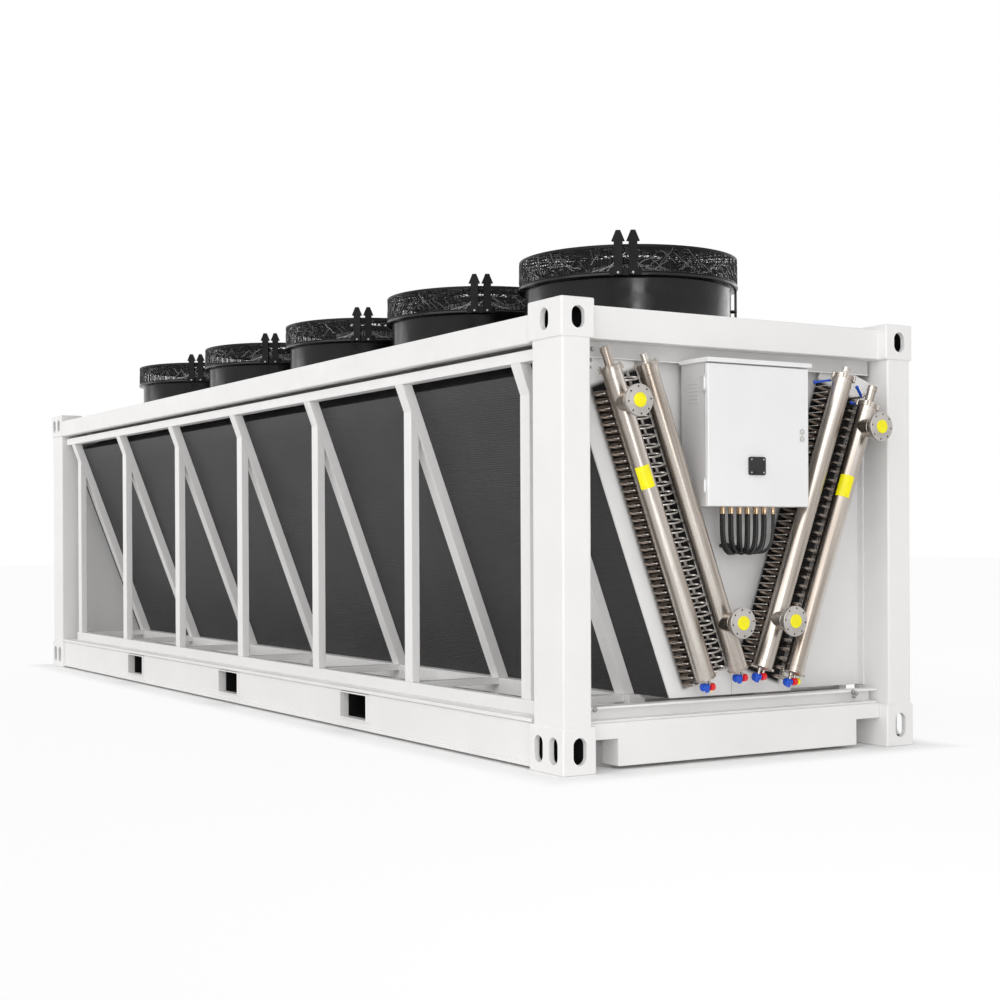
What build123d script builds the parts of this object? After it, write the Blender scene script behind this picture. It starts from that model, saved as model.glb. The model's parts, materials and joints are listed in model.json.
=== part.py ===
from build123d import *
import os
from math import cos, hypot, pi, sin

# Dry cooler built into a container frame, in millimetres.
# X runs along the length with the header end at +X, Z is up, and the origin is the centre of the base.

# Container frame
FRAME_LENGTH = 9125.0
FRAME_WIDTH = 2438.0
FRAME_HEIGHT = 2438.0
FACE_INSET = 10.0

# Corner fittings
FITTING_LENGTH = 324.0
FITTING_WIDTH = 205.0
TOP_FITTING_HEIGHT = 205.0
BOTTOM_FITTING_HEIGHT = 245.0
FITTING_WALL = 30.0
FITTING_ROUND = 10.0
SLOT_WIDTH = 80.0
TOP_SLOT_HEIGHT = 115.0
BOTTOM_SLOT_HEIGHT = 140.0
SIDE_SLOT_PITCH = 140.0
APERTURE_LENGTH = 124.0
APERTURE_WIDTH = 63.5
APERTURE_INSET_X = 103.5
APERTURE_INSET_Y = 89.5

# Corner posts, rails, headers and sills
POST_LENGTH = 288.0
POST_WIDTH = 175.0
POST_ROUND = 12.0
POST_CLEARANCE = 2.0
TOP_RAIL_WIDTH = 80.0
TOP_RAIL_DROP = 61.0
TOP_RAIL_HEIGHT = 146.0
RAIL_ROUND = 6.0
END_HEADER_FRONT_INSET = 67.5
END_HEADER_DEPTH = 150.0
END_HEADER_DROP = 27.0
END_HEADER_HEIGHT = 173.0
BOTTOM_RAIL_BOTTOM = 15.0
BOTTOM_RAIL_HEIGHT = 255.0
BOTTOM_RAIL_WIDTH = 169.0
BOTTOM_RAIL_FLANGE = 22.0
BOTTOM_RAIL_WEB_INSET = 16.0
SILL_FRONT_INSET = 62.5
SILL_DEPTH = 150.0
SILL_BOTTOM = 20.0
SILL_HEIGHT = 230.0
SILL_NOTCH_LENGTH = 180.0
SILL_NOTCH_HEIGHT = 145.0

# Fork pockets
POCKET_WIDTH = 363.0
POCKET_HEIGHT = 155.0
POCKET_BOTTOM = 78.0
POCKET_PITCH = 2120.0
POCKET_WALL = 8.0

# Unit base
BASE_RAIL_HEIGHT = 75.0
INNER_RAIL_WIDTH = 110.0
CROSS_MEMBER_WIDTH = 80.0
CROSS_MEMBER_HEIGHT = 120.0
TIE_HEIGHT = 40.0
END_CHANNEL_HEIGHT = 84.0
END_CHANNEL_DEPTH = 80.0
END_CHANNEL_LIP = 12.0
END_CHANNEL_INSET = 20.0

# Side frames
SIDE_FRAME_COUNT = 7
SIDE_FRAME_END_INSET = 533.5
SIDE_POST_LENGTH = 95.0
SIDE_POST_WIDTH = 55.0
SIDE_POST_INSET = 112.0
BRACE_TOP_INSET = 52.0
BRACE_FOOT_Y = 494.0
BRACE_THICKNESS = 65.0
UNIT_RAIL_DROP = 234.0
UNIT_RAIL_HEIGHT = 60.0
UNIT_RAIL_WIDTH = 80.0

# Coils and tube sheets
COIL_TOP_GAP = 50.0
COIL_THICKNESS = 370.0
COIL_FRONT_INSET = 172.5
COIL_REAR_INSET = 232.5
TUBE_SHEET_THICKNESS = 10.0
TUBE_SHEET_MARGIN = 45.0
SHEET_FOOT_GAP = 2.0
BEND_PITCH_FINE = 41.0
BEND_PITCH_COARSE = 53.5
BEND_START = 40.0
BEND_TOP_MARGIN = 150.0
BEND_TUBE = 15.0
BEND_SPAN = 70.0
BEND_REACH = 70.0
BEND_ROWS = (128.0, 336.0)

# Header pipes, ports and valves
HEADER_SETBACK = 2.5
HEADER_RADIUS = 54.0
OUTER_HEADER_OFFSET = 150.0
INNER_HEADER_OFFSET = 372.0
OUTER_HEADER_FOOT = 59.0
INNER_HEADER_FOOT = 17.0
OUTER_TOP_MARGINS = {-1: 57.0, 1: 187.0}
INNER_TOP_MARGIN = 108.0
HEADER_RING = 4.0
HEADER_RING_LENGTH = 26.0
OUTER_VENT_RADIUS = 28.0
OUTER_VENT_LENGTH = 105.0
INNER_VENT_RADIUS = 20.0
INNER_VENT_LENGTH = 50.0
FEEDER_EVERY = 2
FEEDER_RADIUS = 6.0
PORT_RADIUS = 52.0
PORT_PROUD = 162.5
FLANGE_RADIUS = 83.0
FLANGE_THICKNESS = 20.0
FLANGE_PCD = 140.0
FLANGE_HOLES = 8
FLANGE_HOLE_RADIUS = 5.0
PORT_BORE_RADIUS = 33.0
PORT_BORE_DEPTH = 40.0
OUTER_PORTS_BELOW_TOP = {-1: 195.0, 1: 152.0}
INNER_PORT_ABOVE_FOOT = 283.0
CAP_RADIUS = 38.0
CAP_THICKNESS = 8.0
CAP_PLUG_DEPTH = 20.0
VALVE_RADIUS = 21.0
VALVE_LENGTH = 62.0
VALVE_NUT_RADIUS = 28.0
VALVE_NUT_LENGTH = 22.0

# Panels
PANEL_THICKNESS = 10.0
FRONT_PANEL_INSET = 222.5
SIDE_PANEL_INSET = 264.5
SIDE_PANEL_FLANGE = 57.0
TOP_STRIP_HEIGHT = 88.0

# Control cabinet
CABINET_SIDE_CLEARANCE = 6.0
CABINET_HEIGHT = 764.0
CABINET_HEAD_GAP = 98.0
CABINET_BACK_INSET = 147.5
CABINET_DEPTH = 200.0
CABINET_WALL = 6.0
DOOR_THICKNESS = 25.0
DOOR_GAP = 5.0
DOOR_TOP_GAP = 6.0
DOOR_ROUND = 6.0
HINGE_RADIUS = 7.0
HINGE_LUG_RADIUS = 6.0
HINGE_OFFSET = 9.0
HINGE_PIN_RADIUS = 4.0
HINGE_LENGTH = 60.0
HINGE_LUG = 12.0
HINGE_END_PLAY = 1.0
HINGE_END_DISTANCE = 110.0
HOOD_HEIGHT = 24.0
HOOD_OVERHANG = 14.0
VENT_SLOT_COUNT = 6
VENT_SLOT_LENGTH = 90.0
VENT_SLOT_HEIGHT = 8.0
VENT_SLOT_PITCH = 20.0
LOCK_RADIUS = 15.0
LOCK_HEIGHT = 6.0
LOCK_EDGE_DISTANCE = 50.0
LOCK_PITCH = 40.0
LOCK_ABOVE_FOOT = 392.0
PLATE_WIDTH = 112.0
PLATE_HEIGHT = 98.0
PLATE_THICKNESS = 12.0
PLATE_CENTRE_Y = -22.0
PLATE_ABOVE_FOOT = 218.0
CABINET_RAIL_HEIGHT = 60.0
CABINET_RAIL_LENGTH = 420.0
CABINET_RAIL_EDGE = 110.0

# Cable glands and cables
GLAND_COUNT = 7
GLAND_PITCH = 58.0
GLAND_RADIUS = 16.0
GLAND_HEIGHT = 34.0
GLAND_SETBACK = 65.0
CABLE_RADIUS = 10.0
CABLE_DROP = 185.0
CABLE_SHOULDER = 95.0
CABLE_BEND = 40.0
CABLE_GATHER = 0.4

# Fans
FAN_FRONT_MARGIN = 398.5
FAN_REAR_MARGIN = 346.5
FAN_GAP = 140.0
DECK_DROP = 138.0
DECK_THICKNESS = 40.0
COWL_PLATE_MARGIN = 112.5
COWL_PLATE_SEAT = 30.0
COWL_PLATE_THICKNESS = 8.0
COWL_RADIUS = 617.5
COWL_WALL = 6.0
COWL_HEIGHT = 409.0
RIM_REACH = 42.0
RIM_HEIGHT = 22.0
GUARD_SIDES = 16
GUARD_REACH = 36.0
GUARD_WIRE = 11.0
GUARD_HEIGHT = 170.0
GUARD_RINGS = (340.0, 500.0)
GUARD_HUB_RADIUS = 250.0
MOTOR_RADIUS = 240.0
MOTOR_HEIGHT = 230.0
SHAFT_RADIUS = 28.0
SHAFT_LENGTH = 120.0
RUNNING_GAP = 0.3
HUB_RADIUS = 150.0
HUB_HEIGHT = 110.0
HUB_CLEARANCE = 12.0
BLADE_COUNT = 7
BLADE_TIP_GAP = 14.0
BLADE_ROOT_CHORD = 190.0
BLADE_TIP_CHORD = 260.0
BLADE_ROOT_PITCH = 34.0
BLADE_TIP_PITCH = 20.0
BLADE_THICKNESS = 12.0
BRACKET_ANGLE = -31.0
BRACKET_FIRST_ANGLE = -36.5
BRACKET_SPREAD = 3.5
BRACKET_WIDTH = 49.0
BRACKET_DEPTH = 30.0
BRACKET_HEIGHT = 168.0
BRACKET_CAP_WIDTH = 75.0
BRACKET_CAP_TOP_WIDTH = 26.0
BRACKET_PEAK = 60.0
COLLAR_SWEEP = 16.0
COLLAR_HEIGHT = 40.0
COLLAR_THICKNESS = 6.0

# Sizes worked out from the driving dimensions
HALF_LENGTH = FRAME_LENGTH / 2
HALF_WIDTH = FRAME_WIDTH / 2
RAIL_END_X = HALF_LENGTH - FITTING_LENGTH
CROSS_END_Y = HALF_WIDTH - FITTING_WIDTH
APERTURE_X = HALF_LENGTH - APERTURE_INSET_X
APERTURE_Y = HALF_WIDTH - APERTURE_INSET_Y
TOP_RAIL_BOTTOM = FRAME_HEIGHT - TOP_RAIL_DROP - TOP_RAIL_HEIGHT
END_HEADER_BOTTOM = FRAME_HEIGHT - END_HEADER_DROP - END_HEADER_HEIGHT
UNIT_RAIL_BOTTOM = FRAME_HEIGHT - UNIT_RAIL_DROP - UNIT_RAIL_HEIGHT
DECK_TOP = FRAME_HEIGHT - DECK_DROP
RAIL_FACE_Y = HALF_WIDTH - FACE_INSET
POST_INNER_X = HALF_LENGTH - FACE_INSET - POST_LENGTH
POST_INNER_Y = HALF_WIDTH - FACE_INSET - POST_WIDTH
TOP_RAIL_INNER_Y = RAIL_FACE_Y - TOP_RAIL_WIDTH
BOTTOM_RAIL_TOP = BOTTOM_RAIL_BOTTOM + BOTTOM_RAIL_HEIGHT
BOTTOM_RAIL_INNER_Y = RAIL_FACE_Y - BOTTOM_RAIL_WIDTH
BASE_TOP = BOTTOM_RAIL_TOP + BASE_RAIL_HEIGHT
SILL_TOP = SILL_BOTTOM + SILL_HEIGHT
SILL_FRONT_X = HALF_LENGTH - SILL_FRONT_INSET
END_HEADER_FRONT_X = HALF_LENGTH - END_HEADER_FRONT_INSET
END_HEADER_BACK_X = END_HEADER_FRONT_X - END_HEADER_DEPTH
POCKET_TOP = POCKET_BOTTOM + POCKET_HEIGHT
SIDE_POST_FACE_Y = HALF_WIDTH - SIDE_POST_INSET
SIDE_POST_INNER_Y = SIDE_POST_FACE_Y - SIDE_POST_WIDTH
BRACE_TOP_Y = HALF_WIDTH - BRACE_TOP_INSET
SLOPE_RUN = BRACE_TOP_Y - BRACE_FOOT_Y
SLOPE_RISE = UNIT_RAIL_BOTTOM - BASE_TOP
SLOPE_SIN = SLOPE_RUN / hypot(SLOPE_RUN, SLOPE_RISE)
SLOPE_COS = SLOPE_RISE / hypot(SLOPE_RUN, SLOPE_RISE)
BRACE_LEVEL_WIDTH = BRACE_THICKNESS / SLOPE_COS
COIL_FOOT_Y = BRACE_FOOT_Y - BRACE_LEVEL_WIDTH
COIL_LENGTH_ON_SLOPE = (SLOPE_RISE - COIL_TOP_GAP) / SLOPE_COS
COIL_FRONT_X = HALF_LENGTH - COIL_FRONT_INSET
COIL_REAR_X = COIL_REAR_INSET - HALF_LENGTH
BEND_RUN = COIL_LENGTH_ON_SLOPE - BEND_START - BEND_TOP_MARGIN
HEADER_X = HALF_LENGTH - HEADER_SETBACK
INNER_HEADER_TOP = COIL_LENGTH_ON_SLOPE - INNER_TOP_MARGIN
OUTER_HEADER_TOPS = {side: COIL_LENGTH_ON_SLOPE - margin for side, margin in OUTER_TOP_MARGINS.items()}
OUTER_PORTS_AT = {side: top - OUTER_PORTS_BELOW_TOP[side] for side, top in OUTER_HEADER_TOPS.items()}
INNER_PORT_AT = INNER_HEADER_FOOT + INNER_PORT_ABOVE_FOOT
PORT_FACE_X = HALF_LENGTH + PORT_PROUD
FRONT_PANEL_X = HALF_LENGTH - FRONT_PANEL_INSET
SIDE_PANEL_X = HALF_LENGTH - SIDE_PANEL_INSET
SHEET_FACE_X = COIL_FRONT_X + TUBE_SHEET_THICKNESS
CABINET_TOP = END_HEADER_BOTTOM - CABINET_HEAD_GAP
CABINET_BOTTOM = CABINET_TOP - CABINET_HEIGHT
CABINET_REACH_ON_SLOPE = (CABINET_BOTTOM - BASE_TOP - INNER_HEADER_OFFSET * SLOPE_SIN) / SLOPE_COS
CABINET_GAP_Y = COIL_FOOT_Y + CABINET_REACH_ON_SLOPE * SLOPE_SIN - INNER_HEADER_OFFSET * SLOPE_COS
CABINET_WIDTH = 2 * (CABINET_GAP_Y - HEADER_RADIUS / SLOPE_COS - CABINET_SIDE_CLEARANCE)
CABINET_BACK_X = HALF_LENGTH - CABINET_BACK_INSET
CABINET_FRONT_X = CABINET_BACK_X + CABINET_DEPTH
GLAND_ROW_X = CABINET_FRONT_X - GLAND_SETBACK
DOOR_BACK_X = CABINET_FRONT_X + DOOR_GAP
DOOR_FRONT_X = DOOR_BACK_X + DOOR_THICKNESS
HINGE_X = DOOR_BACK_X + HINGE_RADIUS
HINGE_Y = -CABINET_WIDTH / 2 - HINGE_OFFSET
COWL_TOP = DECK_TOP + COWL_HEIGHT
COWL_PLATE = 2 * (COWL_RADIUS + COWL_PLATE_MARGIN)
DECK_OPENING = COWL_PLATE - 2 * COWL_PLATE_SEAT
RIM_RADIUS = COWL_RADIUS + RIM_REACH
GUARD_RADIUS = COWL_RADIUS + GUARD_REACH
GUARD_TOP = COWL_TOP + GUARD_HEIGHT
MOTOR_TOP = GUARD_TOP - GUARD_WIRE
MOTOR_BOTTOM = MOTOR_TOP - MOTOR_HEIGHT
HUB_TOP = MOTOR_BOTTOM - HUB_CLEARANCE
FRAME_SPAN = FRAME_LENGTH - 2 * SIDE_FRAME_END_INSET
FRAME_PITCH = FRAME_SPAN / (SIDE_FRAME_COUNT - 1)
FRAME_XS = [index * FRAME_PITCH - FRAME_SPAN / 2 for index in range(SIDE_FRAME_COUNT)]
POCKET_XS = [-POCKET_PITCH, 0.0, POCKET_PITCH]
FAN_FRONT_INSET = COWL_PLATE / 2 + FAN_FRONT_MARGIN
FAN_SPAN = FRAME_LENGTH - COWL_PLATE - FAN_FRONT_MARGIN - FAN_REAR_MARGIN
FAN_COUNT = int(FAN_SPAN / (COWL_PLATE + FAN_GAP)) + 1
FAN_PITCH = FAN_SPAN / (FAN_COUNT - 1)
FAN_XS = [HALF_LENGTH - FAN_FRONT_INSET - index * FAN_PITCH for index in range(FAN_COUNT)]
SIDES = (-1, 1)


def block(x0, x1, y0, y1, z0, z1):
    """A box between two corners."""
    centre = Pos((x0 + x1) / 2, (y0 + y1) / 2, (z0 + z1) / 2)
    return centre * Box(abs(x1 - x0), abs(y1 - y0), abs(z1 - z0))


def prism(points, x0, x1):
    """An outline in Y and Z, drawn out along X."""
    face = Plane.YZ.offset(x0) * make_face(Polyline(*points, close=True))
    return extrude(face, amount=x1 - x0, dir=(1, 0, 0))


def on_slope(side, along, offset):
    """Y and Z of a point, measured up the coil's outer face and inwards from it."""
    y = COIL_FOOT_Y + along * SLOPE_SIN - offset * SLOPE_COS
    z = BASE_TOP + along * SLOPE_COS + offset * SLOPE_SIN
    return side * y, z


def to_corner(shape, side_x, side_y):
    """Mirror a piece made at the +X +Y corner to another corner."""
    if side_x < 0:
        shape = mirror(shape, about=Plane.YZ)
    if side_y < 0:
        shape = mirror(shape, about=Plane.XZ)
    return shape


def four_corners(shape):
    return [to_corner(shape, side_x, side_y) for side_x in SIDES for side_y in SIDES]


def both_sides(shape):
    return [shape, mirror(shape, about=Plane.XZ)]


def both_ends(shape):
    return [shape, mirror(shape, about=Plane.YZ)]


def corner_fitting(bottom, height, slot_height, side_slots, aperture_z):
    """A hollow cast fitting with stadium slots in its end, side and lifting faces."""
    x0 = HALF_LENGTH - FITTING_LENGTH
    y0 = HALF_WIDTH - FITTING_WIDTH
    body = fillet(block(x0, HALF_LENGTH, y0, HALF_WIDTH, bottom, bottom + height).edges(), FITTING_ROUND)
    body -= block(
        x0 + FITTING_WALL, HALF_LENGTH - FITTING_WALL,
        y0 + FITTING_WALL, HALF_WIDTH - FITTING_WALL,
        bottom + FITTING_WALL, bottom + height - FITTING_WALL,
    )
    middle_x = HALF_LENGTH - FITTING_LENGTH / 2
    middle_y = HALF_WIDTH - FITTING_WIDTH / 2
    middle_z = bottom + height / 2
    reach = FITTING_WALL + FITTING_ROUND
    slot = SlotOverall(slot_height, SLOT_WIDTH)
    end_face = Plane((HALF_LENGTH, middle_y, middle_z), x_dir=(0, 0, 1), z_dir=(1, 0, 0))
    body -= extrude(end_face * slot, amount=reach, both=True)
    for index in range(side_slots):
        slot_x = middle_x + (index - (side_slots - 1) / 2) * SIDE_SLOT_PITCH
        side_face = Plane((slot_x, HALF_WIDTH, middle_z), x_dir=(0, 0, 1), z_dir=(0, 1, 0))
        body -= extrude(side_face * slot, amount=reach, both=True)
    aperture = Pos(APERTURE_X, APERTURE_Y, aperture_z)
    aperture *= SlotOverall(APERTURE_LENGTH, APERTURE_WIDTH)
    return body - extrude(aperture, amount=reach, both=True)


def bottom_fittings():
    return four_corners(corner_fitting(0, BOTTOM_FITTING_HEIGHT, BOTTOM_SLOT_HEIGHT, 2, 0))


def top_fittings():
    """One side slot at the header end and two at the far end."""
    bottom = FRAME_HEIGHT - TOP_FITTING_HEIGHT
    fittings = []
    for side_x, side_slots in ((1, 1), (-1, 2)):
        fitting = corner_fitting(bottom, TOP_FITTING_HEIGHT, TOP_SLOT_HEIGHT, side_slots, FRAME_HEIGHT)
        fittings += [to_corner(fitting, side_x, side_y) for side_y in SIDES]
    return fittings


def corner_posts():
    x1 = HALF_LENGTH - FACE_INSET
    y1 = HALF_WIDTH - FACE_INSET
    top = FRAME_HEIGHT - TOP_FITTING_HEIGHT
    post = block(x1 - POST_LENGTH, x1, y1 - POST_WIDTH, y1, BOTTOM_FITTING_HEIGHT, top)
    return four_corners(fillet(post.edges().filter_by(Axis.Z), POST_ROUND))


def top_side_rails():
    top = TOP_RAIL_BOTTOM + TOP_RAIL_HEIGHT
    rail = block(-RAIL_END_X, RAIL_END_X, TOP_RAIL_INNER_Y, RAIL_FACE_Y, TOP_RAIL_BOTTOM, top)
    return both_sides(fillet(rail.edges().filter_by(Axis.X), RAIL_ROUND))


def end_headers():
    top = END_HEADER_BOTTOM + END_HEADER_HEIGHT
    header = block(END_HEADER_BACK_X, END_HEADER_FRONT_X, -CROSS_END_Y, CROSS_END_Y, END_HEADER_BOTTOM, top)
    return both_ends(fillet(header.edges().filter_by(Axis.Y), RAIL_ROUND))


def pocket_hole(margin):
    """The space of every fork pocket, grown by a margin."""
    half = POCKET_WIDTH / 2 + margin
    holes = [
        block(x - half, x + half, -HALF_WIDTH, HALF_WIDTH, POCKET_BOTTOM - margin, POCKET_TOP + margin)
        for x in POCKET_XS
    ]
    return Compound(children=holes)


def bottom_side_rails():
    """A flanged rail with a recessed web, cut away where the fork pockets pass."""
    web_out = RAIL_FACE_Y - BOTTOM_RAIL_WEB_INSET
    web_in = BOTTOM_RAIL_INNER_Y + BOTTOM_RAIL_WEB_INSET
    lower = BOTTOM_RAIL_BOTTOM + BOTTOM_RAIL_FLANGE
    upper = BOTTOM_RAIL_TOP - BOTTOM_RAIL_FLANGE
    outline = [
        (BOTTOM_RAIL_INNER_Y, BOTTOM_RAIL_BOTTOM), (RAIL_FACE_Y, BOTTOM_RAIL_BOTTOM),
        (RAIL_FACE_Y, lower), (web_out, lower), (web_out, upper), (RAIL_FACE_Y, upper),
        (RAIL_FACE_Y, BOTTOM_RAIL_TOP), (BOTTOM_RAIL_INNER_Y, BOTTOM_RAIL_TOP),
        (BOTTOM_RAIL_INNER_Y, upper), (web_in, upper), (web_in, lower), (BOTTOM_RAIL_INNER_Y, lower),
    ]
    rail = prism(outline, -RAIL_END_X, RAIL_END_X)
    for hole in pocket_hole(POCKET_WALL).children:
        rail -= hole
    return both_sides(rail)


def end_sills():
    sill = block(SILL_FRONT_X - SILL_DEPTH, SILL_FRONT_X, -CROSS_END_Y, CROSS_END_Y, SILL_BOTTOM, SILL_TOP)
    notch = block(
        SILL_FRONT_X - SILL_DEPTH, SILL_FRONT_X,
        CROSS_END_Y - SILL_NOTCH_LENGTH, CROSS_END_Y,
        SILL_BOTTOM, SILL_BOTTOM + SILL_NOTCH_HEIGHT,
    )
    for cut in both_sides(notch):
        sill -= cut
    return both_ends(sill)


def fork_pockets():
    """Open rectangular tunnels across the base."""
    tunnels = []
    for outer, inner in zip(pocket_hole(POCKET_WALL).children, pocket_hole(0).children):
        tunnel = outer - inner
        tunnels.append(tunnel & block(
            -HALF_LENGTH, HALF_LENGTH, -RAIL_FACE_Y, RAIL_FACE_Y, 0, FRAME_HEIGHT))
    return tunnels


def floor_cross_members():
    """Bars across the base under every side frame, thinner where a fork pocket passes below."""
    members = []
    for x in FRAME_XS:
        over_pocket = any(abs(x - at) < POCKET_WIDTH / 2 + POCKET_WALL + CROSS_MEMBER_WIDTH for at in POCKET_XS)
        bottom = POCKET_TOP + POCKET_WALL if over_pocket else BOTTOM_RAIL_TOP - CROSS_MEMBER_HEIGHT
        members.append(block(
            x - CROSS_MEMBER_WIDTH / 2, x + CROSS_MEMBER_WIDTH / 2,
            -BOTTOM_RAIL_INNER_Y - BOTTOM_RAIL_WEB_INSET, BOTTOM_RAIL_INNER_Y + BOTTOM_RAIL_WEB_INSET,
            bottom, BOTTOM_RAIL_TOP - BOTTOM_RAIL_FLANGE))
    return members


def base_rails():
    """An outer rail under the side posts and an inner rail under the brace feet, on each side."""
    end_x = FRAME_XS[-1] + SIDE_POST_LENGTH
    outer = block(-end_x, end_x, SIDE_POST_INNER_Y, SIDE_POST_FACE_Y, BOTTOM_RAIL_TOP, BASE_TOP)
    inner_y = COIL_FOOT_Y + BRACE_LEVEL_WIDTH
    inner = block(
        -end_x, end_x, inner_y - INNER_RAIL_WIDTH, inner_y,
        BOTTOM_RAIL_TOP - BOTTOM_RAIL_FLANGE, BASE_TOP)
    return both_sides(outer) + both_sides(inner)


def base_ties():
    """Short flat bars between the outer and inner base rails at every side frame."""
    ties = []
    inner_y = COIL_FOOT_Y + BRACE_LEVEL_WIDTH
    for x in FRAME_XS:
        ties += both_sides(block(
            x - SIDE_POST_LENGTH / 2, x + SIDE_POST_LENGTH / 2,
            inner_y, SIDE_POST_INNER_Y, BASE_TOP - TIE_HEIGHT, BASE_TOP))
    return ties


def base_end_channels():
    """A channel on each sill, open towards the end of the unit."""
    x1 = SILL_FRONT_X - END_CHANNEL_INSET
    x0 = x1 - END_CHANNEL_DEPTH
    top = SILL_TOP + END_CHANNEL_HEIGHT
    channel = block(x0, x1, -CROSS_END_Y, CROSS_END_Y, SILL_TOP, top)
    channel -= block(
        x0 + END_CHANNEL_LIP, x1, -CROSS_END_Y, CROSS_END_Y,
        SILL_TOP + END_CHANNEL_LIP, top - END_CHANNEL_LIP)
    return both_ends(channel)


def unit_top_rails():
    y1 = BRACE_TOP_Y
    top = UNIT_RAIL_BOTTOM + UNIT_RAIL_HEIGHT
    return both_sides(block(-RAIL_END_X, RAIL_END_X, y1 - UNIT_RAIL_WIDTH, y1, UNIT_RAIL_BOTTOM, top))


def brace_outer_z(y):
    """Height at which the outer edge of a brace passes a given distance from the middle."""
    return BASE_TOP + (y - BRACE_FOOT_Y) * SLOPE_COS / SLOPE_SIN


def side_posts():
    outline = [
        (SIDE_POST_INNER_Y, BASE_TOP), (SIDE_POST_FACE_Y, BASE_TOP),
        (SIDE_POST_FACE_Y, brace_outer_z(SIDE_POST_FACE_Y)),
        (SIDE_POST_INNER_Y, brace_outer_z(SIDE_POST_INNER_Y)),
    ]
    posts = []
    for x in FRAME_XS:
        posts += both_sides(prism(outline, x - SIDE_POST_LENGTH / 2, x + SIDE_POST_LENGTH / 2))
    return posts


def side_braces():
    outline = [
        (BRACE_FOOT_Y, BASE_TOP), (BRACE_TOP_Y, UNIT_RAIL_BOTTOM),
        (BRACE_TOP_Y - BRACE_LEVEL_WIDTH, UNIT_RAIL_BOTTOM), (COIL_FOOT_Y, BASE_TOP),
    ]
    braces = []
    for x in FRAME_XS:
        braces += both_sides(prism(outline, x - SIDE_POST_LENGTH / 2, x + SIDE_POST_LENGTH / 2))
    return braces


def slab_outline(side, thickness):
    """The section of a slab that leans on the inner edges of the braces."""
    return [
        on_slope(side, 0, 0), on_slope(side, COIL_LENGTH_ON_SLOPE, 0),
        on_slope(side, COIL_LENGTH_ON_SLOPE, thickness), on_slope(side, 0, thickness),
    ]


def inside_frame(shape):
    """Trim a piece so that it stays clear of the corner posts and the end headers."""
    clear = block(
        POST_INNER_X - POST_CLEARANCE, HALF_LENGTH,
        POST_INNER_Y - POST_CLEARANCE, HALF_WIDTH, 0, FRAME_HEIGHT)
    for corner in four_corners(clear):
        shape -= corner
    return shape - block(
        -HALF_LENGTH, HALF_LENGTH, -HALF_WIDTH, HALF_WIDTH,
        END_HEADER_BOTTOM - POST_CLEARANCE, FRAME_HEIGHT)


def coils():
    slabs = [prism(slab_outline(side, COIL_THICKNESS), COIL_REAR_X, COIL_FRONT_X) for side in SIDES]
    return [inside_frame(slab) for slab in slabs]


def slope_plane(side, along, offset, x):
    """A plane facing +X whose first axis runs across the coil and second axis runs up it."""
    y, z = on_slope(side, along, offset)
    return Plane((x, y, z), x_dir=(0, side * SLOPE_COS, -SLOPE_SIN), z_dir=(1, 0, 0))


def return_bend(side, along, offset):
    """A hairpin of square tube that stands on the tube sheet."""
    place = slope_plane(side, along, offset, SHEET_FACE_X).location
    outer = Box(BEND_SPAN + BEND_TUBE, BEND_TUBE, BEND_REACH, align=(Align.CENTER, Align.CENTER, Align.MIN))
    inner = Box(
        BEND_SPAN - BEND_TUBE, BEND_TUBE, BEND_REACH - BEND_TUBE,
        align=(Align.CENTER, Align.CENTER, Align.MIN))
    bend = outer - inner
    crown = bend.edges().filter_by(Axis.Y).group_by(Axis.Z)[-1]
    return place * chamfer(crown, BEND_TUBE)


def bend_places(side, row):
    """Places along the slope of a row of bends; the two coils have the fine and the coarse row swapped."""
    outer_pitch, inner_pitch = BEND_PITCH_FINE, BEND_PITCH_COARSE
    if side > 0:
        outer_pitch, inner_pitch = inner_pitch, outer_pitch
    pitch = (outer_pitch, inner_pitch)[row]
    return [BEND_START + index * pitch for index in range(int(BEND_RUN / pitch) + 1)]


def sheet_foot(side):
    """The plate below the slanted end of a tube sheet, down to the base."""
    outer_y, outer_z = on_slope(side, 0, 0)
    inner_y, inner_z = on_slope(side, 0, COIL_THICKNESS + TUBE_SHEET_MARGIN)
    middle_y = side * SHEET_FOOT_GAP / 2
    outline = [(outer_y, outer_z), (middle_y, BASE_TOP), (middle_y, inner_z), (inner_y, inner_z)]
    return prism(outline, COIL_FRONT_X, SHEET_FACE_X)


def tube_sheets():
    """End plates that reach past the coils under the inner headers, with two rows of return bends."""
    sheets = []
    for side in SIDES:
        outline = slab_outline(side, COIL_THICKNESS + TUBE_SHEET_MARGIN)
        sheet = inside_frame(prism(outline, COIL_FRONT_X, SHEET_FACE_X))
        bends = [sheet_foot(side)]
        for row, offset in enumerate(BEND_ROWS):
            bends += [return_bend(side, along, offset) for along in bend_places(side, row)]
        sheets.append(sheet.fuse(*bends))
    return sheets


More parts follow.
